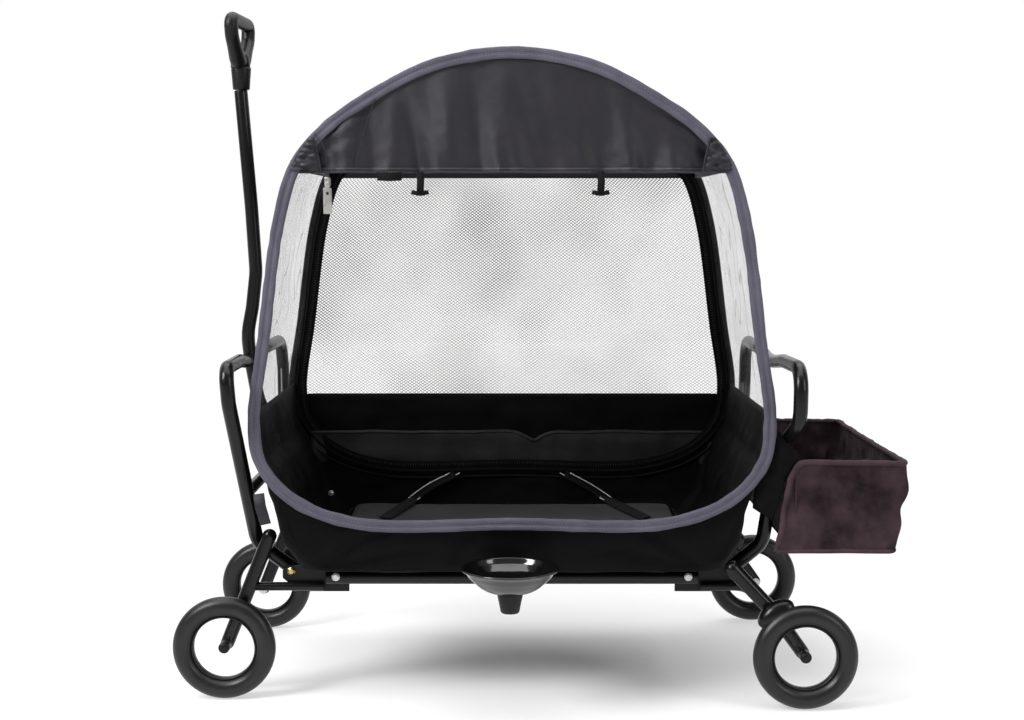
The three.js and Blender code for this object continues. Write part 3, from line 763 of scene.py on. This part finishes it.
def stitches(path, pitch, length, radius, away):
    """A row of short threads along a path, standing a little proud of it the away way."""
    line = np.asarray(path, float)
    steps = np.concatenate([[0], np.cumsum(np.linalg.norm(np.diff(line, axis=0), axis=1))])
    shells = []
    for start in np.arange(pitch / 2, steps[-1] - length, pitch):
        spans = (start, start + length / 2, start + length)
        ends = [[np.interp(s, steps, line[:, k]) for k in range(3)] for s in spans]
        lift = np.array([0.2, 1, 0.2])[:, None] * np.asarray(away, float) * radius
        shells.append(sweep(np.array(ends) + lift, circle(radius, 6)))
    return shells


def wide(z):
    """Half of the tub's length inside its hoops at a height."""
    return np.interp(z, *zip(*TUB_INNER))


# ---- tub ----
# Each crease in the tub's wall: where it starts and ends, and its width.
TUB_CREASES = [((-300, -240, 214), (-180, -249, 290), 9), ((-322, -225, 216), (-262, -249, 300), 8),
               ((-310, -235, 212), (-120, -245, 246), 10), ((300, -240, 214), (190, -249, 288), 9),
               ((322, -225, 216), (268, -249, 300), 8), ((310, -235, 212), (130, -245, 246), 10),
               ((-330, -200, 215), (-365, -60, 330), 12), ((330, -200, 215), (366, -70, 330), 12),
               ((330, 200, 215), (366, 40, 340), 12), ((-330, 200, 215), (-366, 60, 340), 12),
               ((-90, -240, 218), (-60, -249, 275), 12), ((70, -240, 218), (20, -249, 270), 12)]


def tub_top(share):
    """The height at which a column of a long side meets the hoop."""
    for z in np.arange(284, TUB_RIM, 1.0):
        if hoop_low(share * wide(z)) + 7 <= z:
            return z
    return TUB_RIM


def tub_columns():
    """The columns of a quarter of the tub: (long-side share, corner turn, end share, top)."""
    columns = [(s, 0, 1, tub_top(s)) for s in np.sin(np.linspace(0, math.pi / 2, 44))]
    columns += [(1, a, 1, TUB_RIM) for a in np.linspace(0, math.pi / 2, 9)[1:]]
    columns += [(1, math.pi / 2, g, TUB_RIM) for g in np.linspace(1, 0, 24)[1:]]
    return columns


def tub_rows(inset):
    """Rings of the tub's wall from its floor to its rim, creased and moved inwards by inset."""
    quarter = tub_columns()
    rows = []
    for level in np.linspace(0, 1, 46):
        ring = []
        for share, turn, end, top in quarter:
            z = TUB_LOW + (top - TUB_LOW) * level ** 1.2
            length = np.interp(z, *zip(*TUB_END)) - inset
            inner = min(wide(z), length - 5)
            drop = max(0, (TUB_BELLY - z) / (TUB_BELLY - TUB_LOW))
            side = TUB_SIDE[0] + (TUB_SIDE[1] - TUB_SIDE[0]) * math.sqrt(max(0, 1 - drop ** 2)) - inset
            corner = length - inner
            x = share * inner + corner * math.sin(turn)
            y = (side - corner) + corner * math.cos(turn) if share == 1 else side
            ring.append((x, y * end, z + inset * (level == 0)))
        first = np.array(ring)
        others = [first[::-1] * [1, -1, 1], first * [-1, -1, 1], first[::-1] * [-1, 1, 1]]
        rows.append(np.concatenate([first, others[0][1:], others[1][1:], others[2][1:-1]]))
    rows = np.array(rows)
    x, y, z = rows[..., 0], rows[..., 1], rows[..., 2]
    end = np.clip((np.abs(x) / np.interp(z, *zip(*TUB_END)) - 0.86) / 0.12, 0, 1)
    level = np.linspace(0, 1, len(rows))[:, None]
    hold = np.clip(level * 8, 0, 1) * np.clip((1 - level) * 7, 0, 1)
    push = 2.6 * ripple(rows * [1, 1, 0.6], 150, 3) + 1.0 * ripple(rows, 48, 5)
    for a, b, width in TUB_CREASES:
        push -= 8 * crease(rows, a, b, width)
    push *= hold
    rows[..., 0] += np.sign(x) * end * push
    rows[..., 1] += np.sign(y) * (1 - end) * np.minimum(push, 0.8)
    return rows


def rim_path(end, lift):
    """The tub's top edge round one end, from hoop to hoop."""
    turns = np.linspace(0, math.pi / 2, 7)
    half = [(400 + 6 * math.sin(a), 243 + 6 * math.cos(a)) for a in turns]
    line = half + [(x, -y) for x, y in half[::-1]]
    return even(np.array([(end * x, y, TUB_RIM + lift) for x, y in line]), 80)


def tub():
    """The tub's cloth, with its hem at both ends and the piping along its floor."""
    rows = np.concatenate([tub_rows(0), tub_rows(TUB_CLOTH)[::-1]])
    soft(surface("tub_cloth", rows, BLACK, ring=True, caps=True), "black_cloth", "tub_shell")
    hem = [(-2.4, -7), (2.4, -7), (2.8, 0), (1.5, 3.4), (-1.5, 3.4), (-2.8, 0)]
    bindings = [sweep(rim_path(end, -2), hem, up=(0, 0, 1)) for end in (-1, 1)]
    sewn("tub_rim_binding", bindings, WEBBING, "black_cloth")
    x = np.linspace(-240, 240, 90)
    z = TUB_LOW + 2.5 + 0.8 * np.sin(x / 23)
    seams = [sweep(spots(x, side * (TUB_SIDE[0] + 3.2), z), circle(2.6, 10)) for side in (-1, 1)]
    sewn("tub_floor_piping", seams, WEBBING, "black_cloth")


# ---- floor mat ----
def puff(piece):
    """Blows the mat up a little as cloth, keeps it above the floor board and applies the result."""
    modify(piece, "REMESH", mode="VOXEL", voxel_size=0.0065)
    rest = np.array([v.co for v in piece.data.vertices])
    swelling = piece.modifiers.new("puff", "CLOTH")
    swelling.settings.use_pressure = True
    swelling.settings.uniform_pressure_force = 4
    swelling.settings.effector_weights.gravity = 0
    swelling.point_cache.frame_end = 20
    for step in range(1, 21):
        bpy.context.scene.frame_set(step)
    posed = piece.evaluated_get(bpy.context.evaluated_depsgraph_get())
    moved = np.array([v.co for v in posed.data.vertices]) - rest
    piece.modifiers.remove(swelling)
    bpy.context.scene.frame_set(1)
    far = np.linalg.norm(moved, axis=1)[:, None]
    moved *= np.minimum(1, MAT_SWELL / 1000 / np.maximum(far, 1e-6))
    final = rest + moved
    final[:, 2] = np.maximum(final[:, 2], MAT_LOW / 1000)
    piece.data.vertices.foreach_set("co", final.ravel())
    piece.data.polygons.foreach_set("use_smooth", [True] * len(piece.data.polygons))
    piece.data.update()


def mat():
    """The padded floor mat and the piping round its edge."""
    half_x, half_y = MAT_HALF
    box = rounded_box([-half_x, -half_y, MAT_LOW + 1], [half_x, half_y, MAT_TOP - 3], 9, 4)
    piece = several("mat_pad", [box], LINER)
    puff(piece)
    soft(piece, "black_cloth", "floor_mat", low=MAT_LOW)
    path = []
    for sx, sy in ((-1, -1), (1, -1), (1, 1), (-1, 1)):
        start = math.atan2(sy, sx) - math.pi / 4
        for a in np.linspace(start, start + math.pi / 2, 8):
            path.append((sx * (half_x - 20) + 22 * math.cos(a), sy * (half_y - 20) + 22 * math.sin(a), 232))
    edge = even(np.array(path + path[:1]), 240, closed=True)
    sewn("mat_piping", [sweep(edge, circle(2.2, 10), closed=True)], WEBBING, "black_cloth", low=MAT_LOW)


# ---- tent ----
def side_grid(low, high, inset, across, up, wider=1.0):
    """(x, z) grid of the tent's side between two heights, inside the hoop by inset."""
    levels = np.linspace(low, high, up)
    halves = []
    line = hoop_loop(720, inset)
    for z in levels:
        right = line[line[:, 0] > 0]
        near = right[np.argsort(np.abs(right[:, 1] - z))[:4]]
        halves.append(near[:, 0].max() if z < HOOP_WIDEST[1] else near[:, 0].mean())
    halves = np.array(halves)
    x = np.linspace(-1, 1, across)[None] * halves[:, None] * wider
    return x, np.broadcast_to(levels[:, None], x.shape)


def near_hoop():
    """The grey binding sewn over the doorway's spring hoop, with its gathers and two rows of stitches."""
    path = hoop_path(560, BAND / 2, -HOOP_Y)
    gathers = ripple(path, 26, 11, 10)
    overlap = sum(np.exp(-(np.linalg.norm(path - np.array([x, -HOOP_Y, z]), axis=1) / 9) ** 2)
                  for x, z in ((402, 432), (388, 371), (-402, 432), (-330, 312), (-60, 1010)))
    w = BAND / 2 + 0.4
    quarter = [(-w, -2.6), (-w + 1, -4), (-2.9, -4.3), (-2.2, -3.6)]
    lower = quarter + [(-side, lift) for side, lift in quarter[::-1]]
    shape = np.array(lower + [(side, -lift) for side, lift in lower[::-1]])
    grow = np.stack([1 + 0.035 * gathers + 0.10 * overlap, 1 + 0.10 * gathers + 0.25 * overlap], axis=1)
    band = sweep(path, shape[None] * grow[:, None], closed=True, up=(0, 1, 0))
    sewn("hoop_binding", [band], BINDING, "binding", "near_hoop")
    threads = []
    for inset in (5.8, 11.7):
        threads += stitches(hoop_path(560, inset, -HOOP_Y - 4.1), 5.2, 3.1, 0.34, (0, -1, 0))
    sewn("hoop_stitching", threads, THREAD, "binding")


def far_ring(inset, y):
    """The far hoop's outline, which is a little wider and lower than the near one's."""
    path = hoop_path(560, inset, y)
    path[:, 0] *= FAR_WIDER
    path[:, 1] -= 8
    return path


def far_frame():
    """The far hoop's black band with its piping and zip teeth."""
    flat = far_ring(ZIP_BAND / 2, HOOP_Y)
    band_shape = [(-16.5, -3), (-15, -3.8), (-4, -3.2), (2, -3.4), (3.6, -4.6), (5.2, -3.2), (15, -2.6),
                  (16.5, -2), (16.5, 3), (-16.5, 3)]
    wrinkle = 1 + 0.07 * ripple(flat, 40, 17)[:, None, None]
    shapes = np.array(band_shape)[None] * np.concatenate([np.ones_like(wrinkle), wrinkle], axis=2)
    band = sweep(flat, shapes, closed=True, up=(0, 1, 0))
    sewn("far_zip_band", [band], BLACK, "black_cloth", "far_zip_frame")
    tape = [sweep(far_ring(inset, HOOP_Y - proud), circle(radius, 8), closed=True, up=(0, 1, 0))
            for inset, proud, radius in ((15.5, 4.2, 1.7), (2.5, 3.2, 2.2))]
    sewn("far_piping", tape, WEBBING, "black_cloth")
    teeth = [sweep(np.array([a, (a + b) / 2 + [0, -0.5, 0], b]), circle(0.75, 6))
             for a, b in zip(far_ring(23.6, HOOP_Y - 4), far_ring(28.4, HOOP_Y - 4))]
    sewn("zip_teeth", teeth, DARK_THREAD, "black_cloth")


def far_panel():
    """The far side: netting over a strip of black cloth, with grey cloth at the top."""
    x, z = side_grid(NET_LOW, NET_TOP, ZIP_BAND - 3, 60, 50, FAR_WIDER)
    rows = spots(x, 252.5 + 1.6 * ripple(spots(x, z, z), 240, 23), z)
    piece = soft(surface("far_net", rows, NET), "netting", "far_mesh")
    x, z = side_grid(285, NET_LOW + 3, ZIP_BAND - 6, 60, 18, FAR_WIDER)
    waves = 1.8 * ripple(spots(x, z, z), 90, 29) + 0.9 * ripple(spots(x, z, z), 30, 28)
    soft(panel("far_low_cloth", spots(x, 250 + waves, z), BLACK), "black_cloth")
    x, z = side_grid(NET_TOP - 2, 985, ZIP_BAND - 6, 50, 18, FAR_WIDER)
    waves = 2.0 * ripple(spots(x, z, z), 120, 31)
    soft(panel("far_high_cloth", spots(x, 252 + waves, z), GREY), "grey_cloth")
    edge = spots(np.linspace(-372, 372, 60), 250.5, NET_LOW)
    sewn("net_lower_binding", [ribbon(even(edge, 60), (0, 1, 0), 7, 2.4)], WEBBING, "black_cloth")


def visor():
    """The rolled-down grey cloth over the doorway's top, with folds and gathered corners."""
    top = 1013
    x, z = side_grid(HEM_Z, top, 6, 150, 44)
    share = np.clip((top - z) / (top - HEM_Z), 0, 1)
    across = x / np.maximum(np.abs(x).max(axis=1, keepdims=True), 1)
    folds = 8.0 * ripple(spots(x, z * 0.16, 0), 85, 43) * share
    folds += 3.6 * ripple(spots(x + 0.25 * (z - HEM_Z), z * 0.1, 0), 34, 44) * share ** 1.3
    corner = np.exp(-((1 - np.abs(across)) / 0.13) ** 2)
    folds += corner * 3.2 * np.sin((np.abs(x) * 0.5 + (z - HEM_Z)) / 4.2) * share
    folds += 1.1 * ripple(spots(x, z, z), 22, 47) * share * (0.35 + corner)
    edge = np.clip((1 - np.abs(across)) / 0.05, 0, 1)
    y = np.clip(-HOOP_Y + 2 - 4.2 * edge * share ** 0.7 - folds * edge, -276, -240)
    piece = soft(surface("visor_cloth", spots(x, y, z), GREY), "grey_cloth", "visor")
    visor_trim(spots(x[0], y[0] - 0.6, HEM_Z + 3))


def visor_trim(hem):
    """The visor's hem, its stitches and seams, and the tab and toggles that hang from it."""
    sewn("visor_hem", [ribbon(hem, (0, 1, 0), 9, 2.8)], GREY, "grey_cloth")
    threads = []
    for lift in (2.4, -2.6):
        threads += stitches(hem + [0, -1.7, lift], 4.4, 2.8, 0.3, (0, -1, 0))
    sewn("visor_stitching", threads, THREAD, "grey_cloth")
    seams = [smooth([(-207, -261, 942), (-222, -262, 900), (-238, -263, HEM_Z + 7)], 30),
             smooth([(-300, -262, 890), (-284, -264, 868), (-280, -264, HEM_Z + 7)], 30)]
    sewn("visor_seams", [sweep(seam, circle(0.9, 8)) for seam in seams], DARK_THREAD, "grey_cloth")
    tab = np.array([(-205, -258, 826), (-187, -258.5, 825), (-168, -258, 826)])
    shells = [ribbon(tab, (0, 1, 0), 13, 2.5)]
    for x in (-140, 135):
        shells.append(sweep([(x, -257, HEM_Z), (x + 1, -259, 818), (x, -259, 801)], circle(5.6, 16)))
        bar = bent([(x - 13, -259, 802), (x, -259, 799), (x + 13, -259, 802)], 20)
        shells.append(sweep(bar, circle(3.4, 12)))
    sewn("visor_tab_and_toggles", shells, WEBBING, "black_cloth")


def corner_patches():
    """Gathered cloth that wraps the hoop at each end of the visor's hem."""
    line = FINE_HOOP[(FINE_HOOP[:, 0] > 0) & (FINE_HOOP[:, 1] > 836) & (FINE_HOOP[:, 1] < 886)]
    outer = even(line[np.argsort(line[:, 1])], 34)
    inner = smooth([(290, 833), (293, 852), (297, 868), (301, 884)], 34)
    shells = []
    for end in (-1, 1):
        rows = []
        for share in np.linspace(0, 1, 34):
            x, z = (inner + (outer - inner) * share).T
            swell = math.sin(math.pi * (0.12 + 0.88 * share)) ** 0.6
            crinkle = ripple(spots(x * end, z, z), 13, 91) * math.sin(math.pi * share)
            y = -HOOP_Y - 3 - 6.5 * swell - 2.8 * crinkle + 2 * (1.2 + 3.5 * share ** 8) * share ** 6
            rows.append(spots(end * (x + 1.2 * share), y, z))
        shells += [skin(rows), sweep(rows[0] + [0, -1.2, 0], circle(1.3, 8))]
    sewn("visor_corner_patches", shells, GREY, "grey_cloth")


def over_hoops(low, high, inset, sag, seed, columns, wrinkle, end=None):
    """The cloth carried over the two hoops, between two heights. end keeps one end only."""
    line = hoop_loop(900, inset)
    keep = (line[:, 1] >= low) & (line[:, 1] <= high)
    if end:
        keep &= line[:, 0] * end > 0
    index = np.where(keep)[0]
    gap = np.where(np.diff(index) > 1)[0]
    if len(gap):
        index = np.concatenate([index[gap[0] + 1:], index[:gap[0] + 1]])
    arc = even(line[index], columns)
    ahead = np.gradient(arc, axis=0)
    ahead /= np.linalg.norm(ahead, axis=1)[:, None]
    normal = np.stack([ahead[:, 1], -ahead[:, 0]], axis=1)
    rows = []
    for y in np.linspace(-COVER_HALF, COVER_HALF, 70):
        bow = 1 - (y / COVER_HALF) ** 2
        points = spots(arc[:, 0], y, arc[:, 1])
        depth = bow * sag + wrinkle * ripple(points * [1, 0.45, 1], 90, seed) * bow ** 0.5
        rows.append(points + spots(normal[:, 0] * depth, 0, normal[:, 1] * depth))
    return np.array(rows)


def tent_cover():
    """The roof, the netting at both ends below it, and the binding between them."""
    rows = over_hoops(ROOF_LOW, 1100, 3, 7, 53, 130, 1.8)
    roof = soft(surface("roof_cloth", rows, GREY), "grey_cloth", "roof")
    for name, end in ENDS.items():
        rows = over_hoops(MESH_LOW, ROOF_LOW + 2, 3, 6, 59 + end, 80, 2.2, end=end)
        piece = soft(surface(f"end_net_{name}", rows, END_NET), "netting", f"mesh_{name}")
        line = over_hoops(ROOF_LOW - 6, ROOF_LOW + 8, 1.5, 6, 53, 6, 0, end=end)[:, 3]
        edge = sweep(line, [(-1.4, -6), (1.4, -6), (1.4, 6), (-1.4, 6)], up=(0, 0, 1))
        sewn(f"roof_edge_binding_{name}", [edge], BINDING, "binding")


# ---- inside the tub ----
def far_pocket():
    """The long pocket on the far wall, with a slump in its rolled edge."""
    x = np.linspace(-376, 376, 120)
    slump = 15 * np.exp(-((x - 40) / 20) ** 2)
    top = 365 - slump + 1.5 * ripple(spots(x, 0, 0), 140, 60)
    rows = []
    for level in np.linspace(0, 1, 16):
        z = 284 + (top - 284) * level
        y = 250 - 2 * math.sin(math.pi * level * 0.9) - 2.2 * ripple(spots(x, 0, z), 70, 61) - 5 * level
        rows.append(spots(x, y, z))
    soft(panel("far_pocket", rows, LINER), "black_cloth")
    roll = smooth(rows[-1][::3] + [0, 1, -1], 160)
    sewn("far_pocket_roll", [sweep(roll, circle(3.6, 10))], LINER, "black_cloth")


def straps():
    """The two tie-down straps on the mat and the reflective lines along their far halves."""
    webs, edges = [], []
    for points in ([(-218, -3, 246), (-179, 180, 247), (-181, 232, 240), (-150, 236, 262), (-107, 238, 284)],
                   [(229, -3, 246), (172, 180, 247), (174, 232, 240), (140, 236, 262), (99, 238, 284)]):
        path = smooth(points, 60)
        webs.append(ribbon(path + [0, -2, 3.5], (0, -0.5, 0.86), 22, 2))
        edges += [ribbon(path[30:] + [dx, -3, 4.6], (0, -0.5, 0.86), 1.8, 1) for dx in (-9.5, 9.5)]
    sewn("tie_down_straps", webs, WEBBING, "black_cloth")
    sewn("strap_reflective_edges", edges, REFLECT, "black_cloth")


def small_fittings():
    """Snap studs, the end straps' tabs and buckles, the side loop and the zip's pull."""
    stud = [(0, 236), (5, 236.4), (5.6, 238), (5.2, 241), (0, 241)]
    studs = [turned(stud, (x, 0, z), "Y", 24) for x, z in ((-339, 250), (382, 261))]
    sewn("snap_studs", studs, ZINC, "bright_steel")
    tabs = [ribbon(np.array([(x, -242, 452), (x + 1, -246, 470), (x, -247, 492)]), (1, 0, 0), 20, 2.4)
            for x in (-399, 398)]
    sewn("end_strap_tabs", tabs, WEBBING, "black_cloth")
    buckles = [rounded_box((x - 3, -238, 470), (x + 3, -222, 488), 1.6) for x in (-405, 402)]
    sewn("strap_buckles", buckles, ZINC, "bright_steel")
    eye = turned([(0, 231.9), (2.6, 232.0), (2.6, 233), (0, 233)], (-339, 0, 808), "Y", 20)
    sewn("zip_pull_eye", [eye], PLASTIC, "moulded")
    loop = np.array([(-392, -263, 338), (-389, -265, 318), (-385, -265, 304), (-382, -262, 290)])
    sewn("side_loop_tab", [ribbon(loop, (0, 1, 0), 17, 2.2)], GREY, "grey_cloth")
    pull = [rounded_box((-347, 232.5, 770), (-331, 235.5, 818), 1.4, 4),
            rounded_box((-344, 231.5, 818), (-334, 236.5, 829), 2, 4),
            rounded_box((-345, 234.5, 822), (-333, 240.5, 838), 2.2, 4)]
    sewn("zip_slider", pull, ZINC, "bright_steel", "zip_pull")


# ---- basket ----
def basket_path(z, count, inset):
    """The basket's wall at a height: from the near wall's free edge round to the far wall's."""
    level = (z - BASKET_LOW) / (BASKET_TOP - BASKET_LOW)
    start = 411 + 22 * level
    out = BASKET_OUT + 15 * min(1, level * 1.7) - inset + 4 * math.sin(math.pi * level)
    side = BASKET_HALF - inset - 3 * (1 - level)
    half = [(start, -side)] + [(x, -side) for x in np.linspace(start + 8, out - 14, 12)]
    half += [(out - 10 + 10 * math.sin(a), -side + 10 - 10 * math.cos(a))
             for a in np.linspace(0, math.pi / 2, 6)]
    line = half + [(out, 0)] + [(x, -y) for x, y in half[::-1]]
    points = even(np.array(line), count)
    return np.concatenate([points, np.full((count, 1), z)], axis=1)


def basket_rows(inset):
    """The wall's lines from the floor to the rim, with rounded top corners, a sag and soft creases."""
    count = 190
    rows = []
    for level in np.linspace(0, 1, 34):
        line = basket_path(BASKET_LOW + 3 + (BASKET_TOP - BASKET_LOW - 3) * level, count, inset)
        from_edge = np.minimum(line[:, 0] - line[0, 0], 26)
        round_off = 26 - np.sqrt(np.maximum(26 ** 2 - (26 - from_edge) ** 2, 0))
        sag = 3.5 * np.sin(np.linspace(0, math.pi, count))
        line[:, 2] -= level * (round_off + sag)
        rows.append(line)
    rows = np.array(rows)
    level = np.linspace(0, 1, len(rows))[:, None]
    push = 5.0 * ripple(rows, 75, 71) + 1.8 * ripple(rows, 30, 73)
    push *= np.sin(math.pi * np.clip(level, 0.04, 0.94))
    push -= 15 * crease(rows, (446, -255, 370), (520, -256, 262), 17)
    push -= 4 * crease(rows, (600, -200, 360), (604, 40, 280), 22)
    outer_wall = np.clip((rows[..., 0] - 585) / 15, 0, 1)
    rows[..., 1] += np.sign(rows[..., 1]) * (1 - outer_wall) * push
    rows[..., 0] += outer_wall * push
    return rows


def basket():
    """The basket's walls, floor, bound edges and seam."""
    rows = np.concatenate([basket_rows(0), basket_rows(2.6)[::-1]])
    basket_part(surface("basket_walls", rows, BROWN, loop=True), "basket")
    y = np.linspace(-BASKET_HALF + 4, BASKET_HALF - 4, 40)
    rise = BASKET_TOP - 14 - BASKET_LOW
    inner = [spots(BASKET_IN + 2 + 2 * math.sin(math.pi * level), y, BASKET_LOW + 4 + rise * level)
             for level in np.linspace(0, 1, 14)]
    basket_part(panel("basket_inner_wall", inner, BROWN, 2))
    dip = 2.5 * np.sin(np.linspace(0, math.pi, 40))
    floor = [spots(BASKET_IN + (BASKET_FLOOR_OUT - BASKET_IN) * share, y,
                   BASKET_LOW + 4 - math.sin(math.pi * share) * dip) for share in np.linspace(0, 1, 16)]
    basket_part(panel("basket_floor", floor, BROWN, 2.4))
    shell = basket_rows(1.3)
    rim = smooth(np.concatenate([shell[:, 0], shell[-1, 1:-1], shell[::-1, -1]])[::3], 420)
    round_edge = circle(4.2, 12)[None]
    gather = 1 + 0.10 * ripple(rim, 12, 79)[:, None, None]
    edges = [sweep(rim, round_edge * gather), sweep(smooth(shell[0][::3], 240), round_edge[0] * 0.9)]
    basket_part(several("basket_bound_edges", edges, BROWN_EDGE))
    seam = spots(524, 246.5, np.linspace(BASKET_LOW + 8, BASKET_TOP - 8, 20))
    basket_part(several("basket_seam", [sweep(seam, circle(1.1, 8))], BROWN_EDGE))


def gusset(name, side):
    """The black cloth that closes the corner between the tub's hoop and the basket."""
    outer = [(404, 446), (416, 430), (434, 408), (447, 394), (436, 378), (424, 352), (416, 320), (405, 294)]
    inner = [(400, 444), (398, 420), (394, 396), (386, 372), (380, 350), (377, 335), (376, 322), (376, 312)]
    a, b = smooth(inner, 30), smooth(outer, 30)
    rows = []
    for share in np.linspace(0, 1, 14):
        x, z = (a + (b - a) * share).T
        bow = 4 * math.sin(math.pi * share) - 2 + 4 * share
        rows.append(spots(x, side * (247 + bow) + 1.5 * ripple(spots(x, 0, z), 30, 83), z))
    soft(panel(f"gusset_{name}", rows, BLACK), "black_cloth")


# ---- bowl ----
def bowl():
    """The bowl, its bracket on the near rail and the bracket's two screws."""
    x, y, rim, r = BOWL_X, BOWL_Y, BOWL_RIM, BOWL_RADIUS
    profile = [(0, 197), (24, 197), (34, 199), (47, 206), (60, 218), (70, 229), (r - 0.6, rim - 2.5),
               (r, rim - 1), (r - 1, rim), (r - 4, rim - 0.4), (67, 226), (58, 216), (46, 208.5),
               (34, 202.6), (22, 200.4), (0, 200.2)]
    shell = turned(smooth(profile, 90), (x, y, 0), "Z", 110)
    part("bowl_skin", [shell], GLOSS, "base", "gloss_black", "bowl")
    stem = turned([(0, 165), (13, 165), (14.5, 167), (17, 180), (20, 194), (20, 196.4), (0, 196.5)],
                  (x, y, 0), "Z", 48)
    arm = pipe([(x, y, 176), (x, -212, 176)], 8, 28, round_ends=2)
    clamp = rounded_box((x - 17, -213, 169), (x + 17, -201.5, 206), 3)
    cap = rounded_box((x - 17, -212, 201.8), (x + 17, -178, 206.2), 1.8)
    part("bowl_arm", [stem, arm, clamp, cap], PLASTIC, "base", "moulded", "bowl_bracket")
    head = [(0, -214.6), (2.4, -214.4), (3.2, -213.4), (3.2, -212)]
    screws = [turned(head, (x + dx, 0, 188), "Y", 20) for dx in (-11, 11)]
    part("bowl_clamp_screws", screws, ZINC, "base", "bright_steel")


tub()
mat()
near_hoop()
far_frame()
far_panel()
visor()
corner_patches()
tent_cover()
far_pocket()
straps()
small_fittings()
basket()
for name_of_side, side_sign in SIDES.items():
    gusset(name_of_side, side_sign)
bowl()


# ---- stage, in metres ----
GLOW_FROM, GLOW_FULL = 0.1, 0.9


def paper(name):
    """Matt paper whose colour and glow its caller sets."""
    made = bpy.data.materials.new(name)
    made.use_nodes = True
    shader = made.node_tree.nodes["Principled BSDF"]
    shader.inputs["Roughness"].default_value = 0.95
    shader.inputs["Specular IOR Level"].default_value = 0.0
    shader.inputs["Emission Color"].default_value = (1, 1, 1, 1)
    return made, made.node_tree, shader


def stage():
    """White paper under and behind the stroller, which lights itself away from the stroller."""
    size, depth, height = 14, 7, 14
    sheets = {"floor": [(-size, -size, 0), (size, -size, 0), (size, depth, 0), (-size, depth, 0)],
              "backdrop": [(-size, depth, 0), (size, depth, 0), (size, depth, height),
                           (-size, depth, height)]}
    for name, corners in sheets.items():
        mesh = bpy.data.meshes.new(name)
        mesh.from_pydata(corners, [], [(0, 1, 2, 3)])
        sheet = bpy.data.objects.new(name, mesh)
        bpy.context.scene.collection.objects.link(sheet)
        made, tree, shader = paper(f"{name}_paper")
        if name == "floor":
            where = node(tree, "ShaderNodeTexCoord")
            reach = node(tree, "ShaderNodeVectorMath", {0: where.outputs["Object"]}, operation="LENGTH")
            glow = span(tree, reach.outputs["Value"], GLOW_FROM, GLOW_FULL)
            tree.links.new(glow, shader.inputs["Emission Strength"])
            shade = mix(tree, glow, (0.97, 0.965, 0.965, 1), (0.04, 0.04, 0.04, 1))
            tree.links.new(shade, shader.inputs["Base Color"])
        else:
            shader.inputs["Base Color"].default_value = (0, 0, 0, 1)
            shader.inputs["Emission Strength"].default_value = 1.0
        mesh.materials.append(made)


def light(name, where, aim, size, power):
    """A rectangular soft light that looks at a point."""
    data = bpy.data.lights.new(name, "AREA")
    data.shape = "RECTANGLE"
    data.size, data.size_y = size
    data.energy = power
    lamp = bpy.data.objects.new(name, data)
    lamp.location = where
    lamp.rotation_euler = (Vector(aim) - Vector(where)).to_track_quat("-Z", "Y").to_euler()
    bpy.context.scene.collection.objects.link(lamp)


def lights():
    """A low white world, a key light over the pole end, a weaker fill and a wide light on top."""
    world = bpy.data.worlds.new("studio")
    world.use_nodes = True
    world.node_tree.nodes["Background"].inputs[0].default_value = (1, 1, 1, 1)
    world.node_tree.nodes["Background"].inputs[1].default_value = 0.3
    bpy.context.scene.world = world
    light("key", (-2.2, -1.5, 2.3), (0, 0, 0.5), (1.0, 1.4), 84)
    light("fill", (2.4, -1.8, 1.6), (0, 0, 0.5), (0.8, 1.6), 20)
    light("top", (0, 0.1, 3.0), (0, 0, 0.2), (3.4, 3.0), 92)
    bpy.context.scene.view_settings.view_transform = "Standard"


def camera():
    """A long lens on the doorway side, at tub height, that looks down a little."""
    data = bpy.data.cameras.new("camera")
    data.sensor_width = 36
    data.lens = EYE_LENS
    data.clip_end = 60
    eye = bpy.data.objects.new("camera", data)
    eye.location = tuple(place(EYE))
    eye.rotation_euler = (math.pi / 2 - EYE_PITCH, 0, 0)
    bpy.context.scene.collection.objects.link(eye)
    bpy.context.scene.camera = eye


stage()
lights()
camera()
